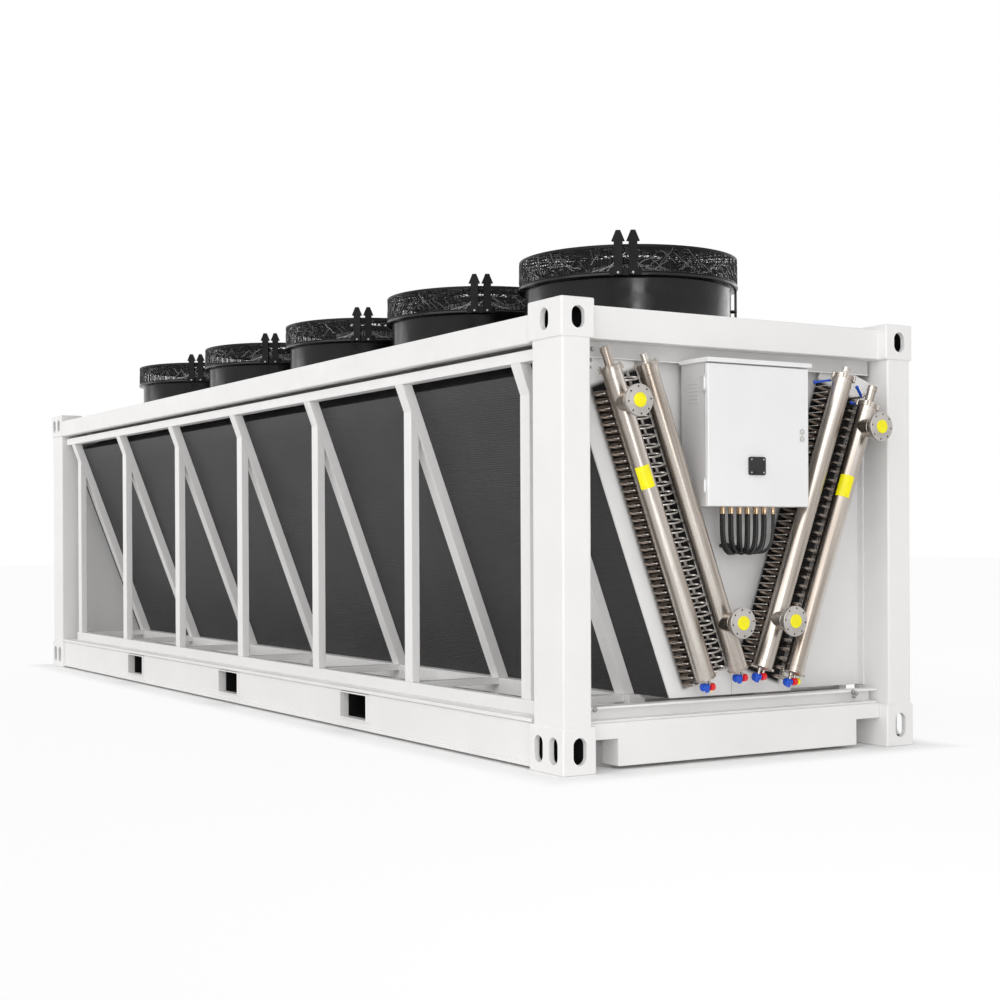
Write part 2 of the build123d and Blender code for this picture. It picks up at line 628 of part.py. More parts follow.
def header_pipe(side, row, offset, span, vent, port_at):
    """A header with end rings, a vent stub, a flanged port and feeder tubes to the tube sheet."""
    foot_y, foot_z = on_slope(side, span[0], offset)
    axis = (0, side * SLOPE_SIN, SLOPE_COS)
    pipe_plane = Plane((HEADER_X, foot_y, foot_z), x_dir=(1, 0, 0), z_dir=axis)
    length = span[1] - span[0]
    upright = (Align.CENTER, Align.CENTER, Align.MIN)
    pipe = Cylinder(HEADER_RADIUS, length, align=upright)
    ring = Cylinder(HEADER_RADIUS + HEADER_RING, HEADER_RING_LENGTH, align=upright)
    pipe += ring
    pipe += Pos(0, 0, length - HEADER_RING_LENGTH) * ring
    pipe += Pos(0, 0, length) * Cylinder(vent[0], vent[1], align=upright)
    pipe = pipe_plane.location * pipe
    port_plane = slope_plane(side, port_at, offset, HEADER_X)
    stub = extrude(port_plane * Circle(PORT_RADIUS), amount=PORT_FACE_X - HEADER_X)
    flange_plane = slope_plane(side, port_at, offset, PORT_FACE_X)
    flange = extrude(flange_plane * Circle(FLANGE_RADIUS), amount=-FLANGE_THICKNESS)
    for place in PolarLocations(FLANGE_PCD / 2, FLANGE_HOLES):
        flange -= extrude(flange_plane * place * Circle(FLANGE_HOLE_RADIUS), amount=-FLANGE_THICKNESS)
    pipe = pipe + stub + flange
    pipe -= extrude(flange_plane * Circle(PORT_BORE_RADIUS), amount=-PORT_BORE_DEPTH)
    feeders = []
    places = bend_places(side, row)
    for index in range(1, len(places) - 1, FEEDER_EVERY):
        along = (places[index] + places[index + 1]) / 2
        foot = slope_plane(side, along, offset, SHEET_FACE_X) * RegularPolygon(FEEDER_RADIUS, 6)
        feeders.append(extrude(foot, amount=HEADER_X - SHEET_FACE_X))
    return pipe.fuse(*feeders)


def outer_headers():
    vent = (OUTER_VENT_RADIUS, OUTER_VENT_LENGTH)
    headers = []
    for side in SIDES:
        span = (OUTER_HEADER_FOOT, OUTER_HEADER_TOPS[side])
        headers.append(header_pipe(side, 0, OUTER_HEADER_OFFSET, span, vent, OUTER_PORTS_AT[side]))
    return headers


def inner_headers():
    vent = (INNER_VENT_RADIUS, INNER_VENT_LENGTH)
    span = (INNER_HEADER_FOOT, INNER_HEADER_TOP)
    return [header_pipe(side, 1, INNER_HEADER_OFFSET, span, vent, INNER_PORT_AT) for side in SIDES]


def port_caps():
    """Plastic caps that plug the ports."""
    caps = []
    for side in SIDES:
        for offset, at in ((OUTER_HEADER_OFFSET, OUTER_PORTS_AT[side]), (INNER_HEADER_OFFSET, INNER_PORT_AT)):
            face = slope_plane(side, at, offset, PORT_FACE_X)
            cap = extrude(face * Circle(CAP_RADIUS), amount=CAP_THICKNESS)
            cap += extrude(face * Circle(PORT_BORE_RADIUS - RUNNING_GAP), amount=-CAP_PLUG_DEPTH)
            caps.append(cap)
    return caps


def drain_valves():
    """A drain valve under each header: a body with a hexagon nut below."""
    valves = []
    for offset, foot in ((OUTER_HEADER_OFFSET, OUTER_HEADER_FOOT), (INNER_HEADER_OFFSET, INNER_HEADER_FOOT)):
        for side in SIDES:
            y, z = on_slope(side, foot, offset)
            down = (0, -side * SLOPE_SIN, -SLOPE_COS)
            body = extrude(Plane((HEADER_X, y, z), x_dir=(1, 0, 0), z_dir=down) * Circle(VALVE_RADIUS),
                           amount=VALVE_LENGTH)
            nut_y, nut_z = on_slope(side, foot - VALVE_LENGTH / 2, offset)
            nut_plane = Plane((HEADER_X, nut_y, nut_z), x_dir=(1, 0, 0), z_dir=down)
            valves.append(body + extrude(nut_plane * RegularPolygon(VALVE_NUT_RADIUS, 6), amount=VALVE_NUT_LENGTH))
    return valves


def front_centre_panel():
    """The panel that closes the V between the coils."""
    outline = []
    for side, along in ((-1, 0), (-1, COIL_LENGTH_ON_SLOPE), (1, COIL_LENGTH_ON_SLOPE), (1, 0)):
        outline.append(on_slope(side, along, COIL_THICKNESS))
    return [prism(outline, FRONT_PANEL_X, FRONT_PANEL_X + PANEL_THICKNESS)]


def front_side_panel():
    """The panel that closes the triangle beside the outer header on the +Y side, flanged at the post."""
    top = BASE_TOP + (POST_INNER_Y - COIL_FOOT_Y) * SLOPE_COS / SLOPE_SIN
    outline = [(COIL_FOOT_Y, BASE_TOP), (POST_INNER_Y, BASE_TOP), (POST_INNER_Y, top)]
    panel = prism(outline, SIDE_PANEL_X, SIDE_PANEL_X + PANEL_THICKNESS)
    flange_y = POST_INNER_Y - PANEL_THICKNESS
    flange_top = top - PANEL_THICKNESS * SLOPE_COS / SLOPE_SIN
    flange = block(SIDE_PANEL_X, SIDE_PANEL_X + SIDE_PANEL_FLANGE, flange_y, POST_INNER_Y, BASE_TOP, flange_top)
    return [panel + flange]


def front_top_panel():
    """A strip between the posts that closes the space under the end header."""
    top = END_HEADER_BOTTOM
    return [block(
        SHEET_FACE_X, SHEET_FACE_X + PANEL_THICKNESS, -CROSS_END_Y, CROSS_END_Y, top - TOP_STRIP_HEIGHT, top)]


def rear_panel():
    """The panel that closes the far end, behind the coils."""
    x1 = COIL_REAR_X
    bottom = SILL_TOP + END_CHANNEL_HEIGHT
    top = FRAME_HEIGHT - TOP_FITTING_HEIGHT
    return [block(x1 - PANEL_THICKNESS, x1, -POST_INNER_Y, POST_INNER_Y, bottom, top)]


def deck_side_panels():
    """Folded panels along both sides of the fans, carried by the side rails."""
    bottom = DECK_TOP - DECK_THICKNESS
    return both_sides(block(
        -RAIL_END_X, RAIL_END_X, DECK_OPENING / 2, TOP_RAIL_INNER_Y, bottom, DECK_TOP))


def deck_cross_panels():
    """Panels between the fan openings and beyond the first and last of them."""
    half = DECK_OPENING / 2
    edges = [RAIL_END_X]
    for x in FAN_XS:
        edges += [x + half, x - half]
    edges.append(-RAIL_END_X)
    panels = []
    for front, back in zip(edges[0::2], edges[1::2]):
        panels.append(block(back, front, -half, half, DECK_TOP - DECK_THICKNESS, DECK_TOP))
    return panels


def deck_end_panels():
    """Panels between the deck and the end headers."""
    return both_ends(block(
        RAIL_END_X, END_HEADER_BACK_X, -CROSS_END_Y, CROSS_END_Y, DECK_TOP - DECK_THICKNESS, DECK_TOP))


def ring_of(radius, width, bottom, height, sides):
    """A flat polygon ring of square bar."""
    def polygon(at):
        turns = [2 * pi * index / sides for index in range(sides)]
        return make_face(Polyline(*[(at * cos(turn), at * sin(turn)) for turn in turns], close=True))
    return Pos(0, 0, bottom) * extrude(polygon(radius) - polygon(radius - width), amount=height)


def upright(radius, bottom, height):
    return Pos(0, 0, bottom) * Cylinder(radius, height, align=(Align.CENTER, Align.CENTER, Align.MIN))


def fan_base_plate():
    """A square plate with a round opening, laid over the deck opening."""
    half = COWL_PLATE / 2
    plate = block(-half, half, -half, half, DECK_TOP, DECK_TOP + COWL_PLATE_THICKNESS)
    return plate - upright(COWL_RADIUS - COWL_WALL, DECK_TOP, COWL_PLATE_THICKNESS)


def fan_cowl():
    """A drum with a rolled rim, on the base plate."""
    bottom = DECK_TOP + COWL_PLATE_THICKNESS
    rim = upright(RIM_RADIUS, COWL_TOP - RIM_HEIGHT, RIM_HEIGHT)
    rim = fillet(rim.edges(), RIM_HEIGHT * 0.4)
    cowl = upright(COWL_RADIUS, bottom, COWL_TOP - bottom) + rim
    return cowl - upright(COWL_RADIUS - COWL_WALL, bottom, COWL_TOP - bottom)


def guard_wall():
    """The side of the guard: uprights between two rings, standing on the rim."""
    top = GUARD_TOP - GUARD_WIRE
    wall = ring_of(GUARD_RADIUS, GUARD_WIRE, COWL_TOP, GUARD_WIRE, GUARD_SIDES)
    half = GUARD_WIRE / 2
    pieces = [ring_of(GUARD_RADIUS, GUARD_WIRE, top - GUARD_WIRE, GUARD_WIRE, GUARD_SIDES)]
    for index in range(GUARD_SIDES):
        turn = Rot(0, 0, 360 * index / GUARD_SIDES)
        pieces.append(turn * block(GUARD_RADIUS - GUARD_WIRE, GUARD_RADIUS, -half, half, COWL_TOP, top))
    return wall.fuse(*pieces)


def guard_top():
    """The top of the guard: rings and spokes round the plate that holds the motor."""
    top = GUARD_TOP - GUARD_WIRE
    plate = upright(GUARD_HUB_RADIUS, top, GUARD_WIRE)
    pieces = [ring_of(GUARD_RADIUS, GUARD_WIRE, top, GUARD_WIRE, GUARD_SIDES)]
    pieces += [ring_of(radius, GUARD_WIRE, top, GUARD_WIRE, GUARD_SIDES) for radius in GUARD_RINGS]
    half = GUARD_WIRE / 2
    for index in range(GUARD_SIDES):
        spoke = block(GUARD_HUB_RADIUS - half, GUARD_RADIUS - half, -half, half, top, GUARD_TOP)
        pieces.append(Rot(0, 0, 360 * index / GUARD_SIDES) * spoke)
    return plate.fuse(*pieces)


def fan_bracket():
    """Twin posts with peaked caps on a curved collar plate, outside the rim."""
    inner = RIM_RADIUS
    collar = upright(inner + COLLAR_THICKNESS, COWL_TOP - RIM_HEIGHT, COLLAR_HEIGHT)
    collar -= upright(inner, COWL_TOP - RIM_HEIGHT, COLLAR_HEIGHT)
    reach = 2 * inner
    half = COLLAR_SWEEP / 2 * pi / 180
    wedge = make_face(Polyline(
        (0, 0), (reach * cos(half), -reach * sin(half)), (reach * cos(half), reach * sin(half)), close=True))
    collar &= Pos(0, 0, COWL_TOP - RIM_HEIGHT) * extrude(wedge, amount=COLLAR_HEIGHT)
    face = inner + COLLAR_THICKNESS / 2
    top = COWL_TOP + BRACKET_HEIGHT
    for side in SIDES:
        post = block(
            face, face + BRACKET_DEPTH, -BRACKET_WIDTH / 2, BRACKET_WIDTH / 2, COWL_TOP - RIM_HEIGHT, top)
        wide, narrow = BRACKET_CAP_WIDTH / 2, BRACKET_CAP_TOP_WIDTH / 2
        peak = prism(
            [(-wide, top), (wide, top), (narrow, top + BRACKET_PEAK), (-narrow, top + BRACKET_PEAK)],
            face, face + BRACKET_DEPTH)
        collar += Rot(0, 0, side * BRACKET_SPREAD) * (post + peak)
    return collar


def fan_brackets():
    """One bracket for each fan; the fan nearest the headers has its own turned a little further."""
    bracket = fan_bracket()
    angles = [BRACKET_FIRST_ANGLE] + [BRACKET_ANGLE] * (FAN_COUNT - 1)
    return [Pos(x, 0, 0) * Rot(0, 0, angle) * bracket for x, angle in zip(FAN_XS, angles)]


def fan_motor():
    motor = upright(MOTOR_RADIUS, MOTOR_BOTTOM, MOTOR_HEIGHT)
    return motor + upright(SHAFT_RADIUS, MOTOR_BOTTOM - SHAFT_LENGTH, SHAFT_LENGTH)


def fan_impeller():
    """A hub with twisted blades that runs on the motor shaft."""
    hub_bottom = HUB_TOP - HUB_HEIGHT
    hub = upright(HUB_RADIUS, hub_bottom, HUB_HEIGHT)
    tip = COWL_RADIUS - COWL_WALL - BLADE_TIP_GAP
    middle = HUB_TOP - HUB_HEIGHT / 2
    sections = []
    root = HUB_RADIUS - BLADE_THICKNESS
    for radius, chord, pitch in (
        (root, BLADE_ROOT_CHORD, BLADE_ROOT_PITCH), (tip, BLADE_TIP_CHORD, BLADE_TIP_PITCH),
    ):
        angle = pitch * pi / 180
        plane = Plane((radius, 0, middle), x_dir=(0, cos(angle), sin(angle)), z_dir=(1, 0, 0))
        sections.append(plane * Rectangle(chord, BLADE_THICKNESS))
    blade = loft(sections)
    blade &= upright(tip, hub_bottom - HUB_HEIGHT, 3 * HUB_HEIGHT)
    blades = [Rot(0, 0, 360 * index / BLADE_COUNT) * blade for index in range(BLADE_COUNT)]
    impeller = hub.fuse(*blades)
    return impeller - upright(SHAFT_RADIUS + RUNNING_GAP, hub_bottom - HUB_HEIGHT, 3 * HUB_HEIGHT)


def along_row(shape):
    return [Pos(x, 0, 0) * shape for x in FAN_XS]


def hinge_heights():
    low = CABINET_BOTTOM + HINGE_END_DISTANCE
    return (low, CABINET_TOP - HINGE_END_DISTANCE)


def cabinet_body():
    """A box open to the front, with louvre slots in one side and lugs that hold the hinge pins."""
    half = CABINET_WIDTH / 2
    body = block(CABINET_BACK_X, CABINET_FRONT_X, -half, half, CABINET_BOTTOM, CABINET_TOP)
    body -= block(
        CABINET_BACK_X + CABINET_WALL, CABINET_FRONT_X, -half + CABINET_WALL, half - CABINET_WALL,
        CABINET_BOTTOM + CABINET_WALL, CABINET_TOP - CABINET_WALL)
    middle_x = (CABINET_BACK_X + CABINET_FRONT_X) / 2
    for index in range(VENT_SLOT_COUNT):
        z = CABINET_TOP - HINGE_END_DISTANCE - index * VENT_SLOT_PITCH
        body -= block(
            middle_x - VENT_SLOT_LENGTH / 2, middle_x + VENT_SLOT_LENGTH / 2,
            -half, -half + CABINET_WALL, z, z + VENT_SLOT_HEIGHT)
    lug_face = HINGE_LENGTH / 2 + HINGE_END_PLAY
    for z in hinge_heights():
        pin_foot = z - lug_face - HINGE_LUG
        pin = Pos(HINGE_X, HINGE_Y, pin_foot) * Cylinder(
            HINGE_PIN_RADIUS, 2 * (lug_face + HINGE_LUG), align=(Align.CENTER, Align.CENTER, Align.MIN))
        body += pin
        reach = HINGE_LUG_RADIUS
        for low in (pin_foot, z + lug_face):
            top = low + HINGE_LUG
            body += block(CABINET_FRONT_X - HINGE_LUG, CABINET_FRONT_X, HINGE_Y - reach, -half, low, top)
            body += block(CABINET_FRONT_X - reach, HINGE_X, HINGE_Y - reach, HINGE_Y + reach, low, top)
            body += Pos(HINGE_X, HINGE_Y, 0) * upright(reach, low, HINGE_LUG)
    return [body]


def cabinet_door():
    """The door with the outer knuckles of its hinges."""
    half = CABINET_WIDTH / 2
    door = block(DOOR_BACK_X, DOOR_FRONT_X, -half, half, CABINET_BOTTOM, CABINET_TOP - DOOR_TOP_GAP)
    front = door.faces().sort_by(Axis.X)[-1]
    door = fillet(front.edges(), DOOR_ROUND)
    upright_align = (Align.CENTER, Align.CENTER, Align.CENTER)
    for z in hinge_heights():
        door += Pos(HINGE_X, HINGE_Y, z) * Cylinder(HINGE_RADIUS, HINGE_LENGTH, align=upright_align)
        door += block(
            DOOR_BACK_X, HINGE_X, HINGE_Y, -half, z - HINGE_LENGTH / 2, z + HINGE_LENGTH / 2)
        door -= Pos(HINGE_X, HINGE_Y, z) * Cylinder(
            HINGE_PIN_RADIUS + RUNNING_GAP, HINGE_LENGTH, align=upright_align)
    return [door]


def cabinet_hood():
    """A shallow rain hood that overhangs the cabinet."""
    half = CABINET_WIDTH / 2 + HOOD_OVERHANG
    hood = block(CABINET_BACK_X, DOOR_FRONT_X + HOOD_OVERHANG, -half, half, CABINET_TOP, CABINET_TOP + HOOD_HEIGHT)
    return [fillet(hood.faces().sort_by(Axis.Z)[-1].edges(), DOOR_ROUND)]


def cabinet_rails():
    rails = []
    for z in (CABINET_BOTTOM + CABINET_RAIL_EDGE, CABINET_TOP - CABINET_RAIL_EDGE):
        rails.append(block(
            FRONT_PANEL_X + PANEL_THICKNESS, CABINET_BACK_X,
            -CABINET_RAIL_LENGTH / 2, CABINET_RAIL_LENGTH / 2,
            z - CABINET_RAIL_HEIGHT / 2, z + CABINET_RAIL_HEIGHT / 2))
    return rails


def door_plate():
    half = PLATE_WIDTH / 2
    low = CABINET_BOTTOM + PLATE_ABOVE_FOOT - PLATE_HEIGHT / 2
    plate = block(
        DOOR_FRONT_X, DOOR_FRONT_X + PLATE_THICKNESS,
        PLATE_CENTRE_Y - half, PLATE_CENTRE_Y + half, low, low + PLATE_HEIGHT)
    return [fillet(plate.edges().filter_by(Axis.X), PLATE_THICKNESS)]


def door_locks():
    """Two round quarter-turn locks with a slot."""
    locks = []
    y = CABINET_WIDTH / 2 - LOCK_EDGE_DISTANCE
    for side in SIDES:
        z = CABINET_BOTTOM + LOCK_ABOVE_FOOT + side * LOCK_PITCH / 2
        face = Plane((DOOR_FRONT_X, y, z), x_dir=(0, 1, 0), z_dir=(1, 0, 0))
        lock = extrude(face * Circle(LOCK_RADIUS), amount=LOCK_HEIGHT)
        slot = block(
            DOOR_FRONT_X + LOCK_HEIGHT / 2, DOOR_FRONT_X + LOCK_HEIGHT,
            y - LOCK_RADIUS / 5, y + LOCK_RADIUS / 5, z - LOCK_RADIUS / 2, z + LOCK_RADIUS / 2)
        locks.append(lock - slot)
    return locks


def gland_ys():
    return [(index - (GLAND_COUNT - 1) / 2) * GLAND_PITCH for index in range(GLAND_COUNT)]


def cable_glands():
    glands = []
    for y in gland_ys():
        face = Plane((GLAND_ROW_X, y, CABINET_BOTTOM), x_dir=(1, 0, 0), z_dir=(0, 0, -1))
        glands.append(extrude(face * RegularPolygon(GLAND_RADIUS, 6), amount=GLAND_HEIGHT))
    return glands


def control_cables():
    """Cables that drop from the glands, gather in the middle and turn back into the panel."""
    cables = []
    top = CABINET_BOTTOM - GLAND_HEIGHT
    panel_x = FRONT_PANEL_X + PANEL_THICKNESS
    low = top - CABLE_DROP
    knee_x = (GLAND_ROW_X + panel_x) / 2
    for y in gland_ys():
        path = FilletPolyline(
            (GLAND_ROW_X, y, top), (GLAND_ROW_X, y, top - CABLE_SHOULDER),
            (knee_x, y * CABLE_GATHER, low), (panel_x, y * CABLE_GATHER, low),
            radius=CABLE_BEND)
        start = Plane((GLAND_ROW_X, y, top), x_dir=(1, 0, 0), z_dir=(0, 0, -1))
        cables.append(sweep(start * RegularPolygon(CABLE_RADIUS, 6), path=path))
    return cables


def write_node(name, solids):
    export_step(Compound(children=[Part(solid.wrapped) for solid in solids]), os.path.join("parts", name + ".step"))


def main():
    os.makedirs("parts", exist_ok=True)
    nodes = {
        "corner_fittings_bottom": bottom_fittings(),
        "corner_fittings_top": top_fittings(),
        "corner_posts": corner_posts(),
        "top_side_rails": top_side_rails(),
        "end_headers": end_headers(),
        "bottom_side_rails": bottom_side_rails(),
        "end_sills": end_sills(),
        "fork_pockets": fork_pockets(),
        "floor_cross_members": floor_cross_members(),
        "base_rails": base_rails(),
        "base_ties": base_ties(),
        "base_end_channels": base_end_channels(),
        "unit_top_rails": unit_top_rails(),
        "side_posts": side_posts(),
        "side_braces": side_braces(),
        "coils": coils(),
        "tube_sheets": tube_sheets(),
        "outer_headers": outer_headers(),
        "inner_headers": inner_headers(),
        "port_caps": port_caps(),
        "drain_valves": drain_valves(),
        "front_centre_panel": front_centre_panel(),
        "front_side_panel": front_side_panel(),
        "front_top_panel": front_top_panel(),
        "rear_panel": rear_panel(),
        "deck_side_panels": deck_side_panels(),
        "deck_cross_panels": deck_cross_panels(),
        "deck_end_panels": deck_end_panels(),
        "fan_base_plates": along_row(fan_base_plate()),
        "fan_guard_walls": along_row(guard_wall()),
        "fan_guard_tops": along_row(guard_top()),
        "fan_brackets": fan_brackets(),
        "fan_motors": along_row(fan_motor()),
        "cabinet_body": cabinet_body(),
        "cabinet_door": cabinet_door(),
        "cabinet_hood": cabinet_hood(),
        "cabinet_rails": cabinet_rails(),
        "door_plate": door_plate(),
        "door_locks": door_locks(),
        "cable_glands": cable_glands(),
        "control_cables": control_cables(),
    }
    cowl = fan_cowl()
    impeller = fan_impeller()
    for index, x in enumerate(FAN_XS, start=1):
        nodes[f"fan_cowl_{index}"] = [Pos(x, 0, 0) * cowl]
        nodes[f"fan_impeller_{index}"] = [Pos(x, 0, 0) * impeller]
    for name, solids in nodes.items():
        write_node(name, solids)


main()
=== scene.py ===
import bpy
import json
import random
from math import cos, pi, radians, sin
from mathutils import Matrix, Vector


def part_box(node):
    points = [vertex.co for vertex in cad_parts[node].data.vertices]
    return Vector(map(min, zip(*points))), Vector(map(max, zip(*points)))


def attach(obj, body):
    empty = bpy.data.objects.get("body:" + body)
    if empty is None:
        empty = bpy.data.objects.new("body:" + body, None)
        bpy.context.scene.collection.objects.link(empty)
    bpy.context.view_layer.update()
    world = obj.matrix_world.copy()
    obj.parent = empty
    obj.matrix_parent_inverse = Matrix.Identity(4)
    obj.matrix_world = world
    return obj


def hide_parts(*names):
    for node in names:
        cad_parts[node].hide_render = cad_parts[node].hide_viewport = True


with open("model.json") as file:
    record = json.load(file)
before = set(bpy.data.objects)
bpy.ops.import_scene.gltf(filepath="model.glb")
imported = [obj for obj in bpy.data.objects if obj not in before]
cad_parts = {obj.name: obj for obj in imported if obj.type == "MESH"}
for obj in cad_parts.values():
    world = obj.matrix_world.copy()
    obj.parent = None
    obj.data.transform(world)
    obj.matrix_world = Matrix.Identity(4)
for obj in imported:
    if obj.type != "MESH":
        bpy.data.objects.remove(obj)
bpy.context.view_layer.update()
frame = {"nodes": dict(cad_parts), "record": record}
NODES = frame["nodes"]
ROOT = "cooler"
DOOR = "door"
SIDES = {-1: "left", 1: "right"}
chance = random.Random(7)
FORWARD = Vector((1, 0, 0))
SIDEWAYS = Vector((0, 1, 0))
UP = Vector((0, 0, 1))

# The container frame, in metres.
HALF_LENGTH = 4.5625
HALF_WIDTH = 1.219
FITTING_LENGTH = 0.324
FITTING_WIDTH = 0.205
FITTING_HEIGHTS = {"corner_fittings_bottom": (0.0, 0.245), "corner_fittings_top": (2.233, 2.438)}
POCKET_LIP = 0.060
POCKET_XS = (-2.120, 0.0, 2.120)
END_CHANNEL_FACE_X = 4.4825
# Depth beyond which the walls of the corner fittings get painted shade.
CAVITY_DEPTH = 0.028

# The strip above the header end, and bolts: (y, z) on the end channel, (y, z, size) by the near post.
STRIP_FACE_X = 4.4095
STRIP_BOTTOM = 2.150
CHANNEL_BOLTS = ((-0.969, 0.322), (0.823, 0.322), (0.831, 0.298), (0.846, 0.312))
POST_BOLTS = ((-0.928, 2.196, 0.012), (-0.929, 2.139, 0.008), (-0.935, 2.102, 0.008))

# The slope that the coils, tube sheets and headers follow.
SLOPE_SIN = 0.35038
SLOPE_COS = 0.93661
COIL_FOOT_Y = 0.4246
BASE_TOP = 0.345
COIL_LENGTH = 1.8674
COIL_FRONT_X = 4.390
SHEET_FACE_X = 4.400
SHEET_DEPTH = 0.415
SHEET_CORNERS = (
    (0.0, 0.0), (1.7335, 0.0), (COIL_LENGTH, 0.0501), (COIL_LENGTH, 0.405), (1.8638, SHEET_DEPTH),
    (0.0, SHEET_DEPTH))

# Return bends on the tube sheets.
FINE_PITCH = 0.041
COARSE_PITCH = 0.0535
BEND_START = 0.040
BEND_RUN = COIL_LENGTH - BEND_START - 0.150
OUTER_ROW = 0.128
INNER_ROW = 0.336
LOOP_X = 4.447
LOOP_DEPTH = 0.026
LOOP_HALF = 0.052
LOOP_TILT = -0.010
LOOP_TUBE = 0.0048
OPEN_LEAN = 0.0085
CLOSE_LEAN = 0.009
STUB_RADIUS = 0.0085
STUB_GAP = 0.010
LOOP_STEPS = 16
LEG_END_X = LOOP_X - 0.012
FINE_TUBE = 0.0070
FINE_LEG = 0.009
DOT_X = 4.512
DOT_LEG_END_X = 4.510
DOT_RISE = 0.004
DOT_GAP = 0.050

# Header pipes.
HEADER_X = 4.560
HEADER_RADIUS = 0.054
COLLAR_RADIUS = 0.058
PORT_FACE_X = 4.725
PORT_RADIUS = 0.052
FLANGE_RADIUS = 0.083
FLANGE_THICKNESS = 0.020
FLANGE_EDGE = 0.0015
FLANGE_HOLES = 8
FLANGE_HOLE_RING = 0.070
PORT_CAP_RADIUS = 0.038
OUTER_OFFSET = 0.150
INNER_OFFSET = 0.372
OUTER_FOOT = 0.059
INNER_FOOT = 0.017
INNER_TOP = 1.7594
INNER_PORT = 0.300
OUTER_VENT = (0.028, 0.105)
INNER_VENT = (0.020, 0.050)
# Each header: name, side, offset, foot, top and port on the slope, vent stub, pitch of the bends it feeds.
HEADERS = (
    ("outer_left", -1, OUTER_OFFSET, OUTER_FOOT, 1.8104, 1.6154, OUTER_VENT, FINE_PITCH),
    ("outer_right", 1, OUTER_OFFSET, OUTER_FOOT, 1.6804, 1.5284, OUTER_VENT, COARSE_PITCH),
    ("inner_left", -1, INNER_OFFSET, INNER_FOOT, INNER_TOP, INNER_PORT, INNER_VENT, COARSE_PITCH),
    ("inner_right", 1, INNER_OFFSET, INNER_FOOT, INNER_TOP, INNER_PORT, INNER_VENT, FINE_PITCH),
)
# Yellow bands: side, both ends along the slope, and the angle each one faces. Vent levers: both ends.
YELLOW_BANDS = ((-1, 1.150, 1.272, -28.0), (1, 1.100, 1.228, 43.0))
BAND_HALF = 44
BAND_STEPS = 16
VENT_LEVERS = (
    ((4.500, 0.528, 2.084), (4.505, 0.640, 2.100)),
    ((4.500, 0.846, 2.068), (4.500, 0.882, 2.014)),
    ((4.495, 0.806, 1.980), (4.495, 0.858, 1.966)),
)

# Fans.
FAN_XS = [3.434 - 1.730 * index for index in range(5)]
BRACKET_ANGLES = (-36.5, -31.0, -31.0, -31.0, -31.0)
BRACKET_FACE = 0.6925
BRACKET_SPREAD = 3.5
COWL_RADIUS = 0.6175
COWL_WALL = 0.006
COWL_BOTTOM = 2.308
COWL_TOP = 2.709
RIM_RADIUS = 0.6595
RIM_HEIGHT = 0.022
GUARD_RADIUS = 0.6535
GUARD_TOP = 2.879
GUARD_WIRE = 0.0028
GUARD_TOP_PITCH = 0.017
GUARD_WALL_PITCH = 0.010
GUARD_BAND = 0.016
GUARD_STEPS = 96
GUARD_UPRIGHTS = 190
GUARD_SPOKES = 32
DOME_START = 0.42
WALL_WIRES = 130
TOP_WIRES = 120
COWL_BOLTS = 16
CONDUIT_PLACE = 0.643
CONDUIT_ANGLE = 51
MOTOR_RADIUS = 0.240
MOTOR_BOTTOM = 2.638
MOTOR_TOP = 2.868
MOTOR_RIBS = 28
LID_RIBS = 16

# Cabinet, glands and cables.
CABINET_HALF = 0.34946
CABINET_BOTTOM = 1.376
CABINET_TOP = 2.140
CABINET_BACK_X = 4.415
CABINET_FRONT_X = 4.615
GLAND_PITCH = 0.058
GLAND_ROWS = ((4.550, 7), (4.498, 6))
GLAND_LENGTH = 0.044
CABLE_RADIUS = 0.0095
CABLE_DROP = 0.195
PANEL_FACE_X = 4.350
CABLE_STEPS = 18
CABLE_WEIGHTS = (1, 5, 10, 10, 5, 1)
LOUVRE_ROWS = 6
LOUVRE_PITCH = 0.020
LOUVRE_SPACING = 0.031
LOUVRE_HALF = 0.0152
SCREW_INSET = 0.014

# Share of plain white in the floor as the camera sees it, and how far from the frame it sets in.
FLOOR_GLOW = 0.9
GLOW_START = -0.04
GLOW_END = 0.30

# Half the width of the floor, and the strength of the surround as a light.
FLOOR_HALF = 80.0
WORLD_LIGHT = 0.60

# The camera, from a fit of the frame's edges.
EYE = (11.4594, -5.74775, 1.19136)
VIEW_TURN = 2.5987
VIEW_LIFT = -0.0041
VIEW_ROLL = -0.0045


def turns(count):
    """Angles of equal steps round a full turn."""
    return [2 * pi * step / count for step in range(count)]


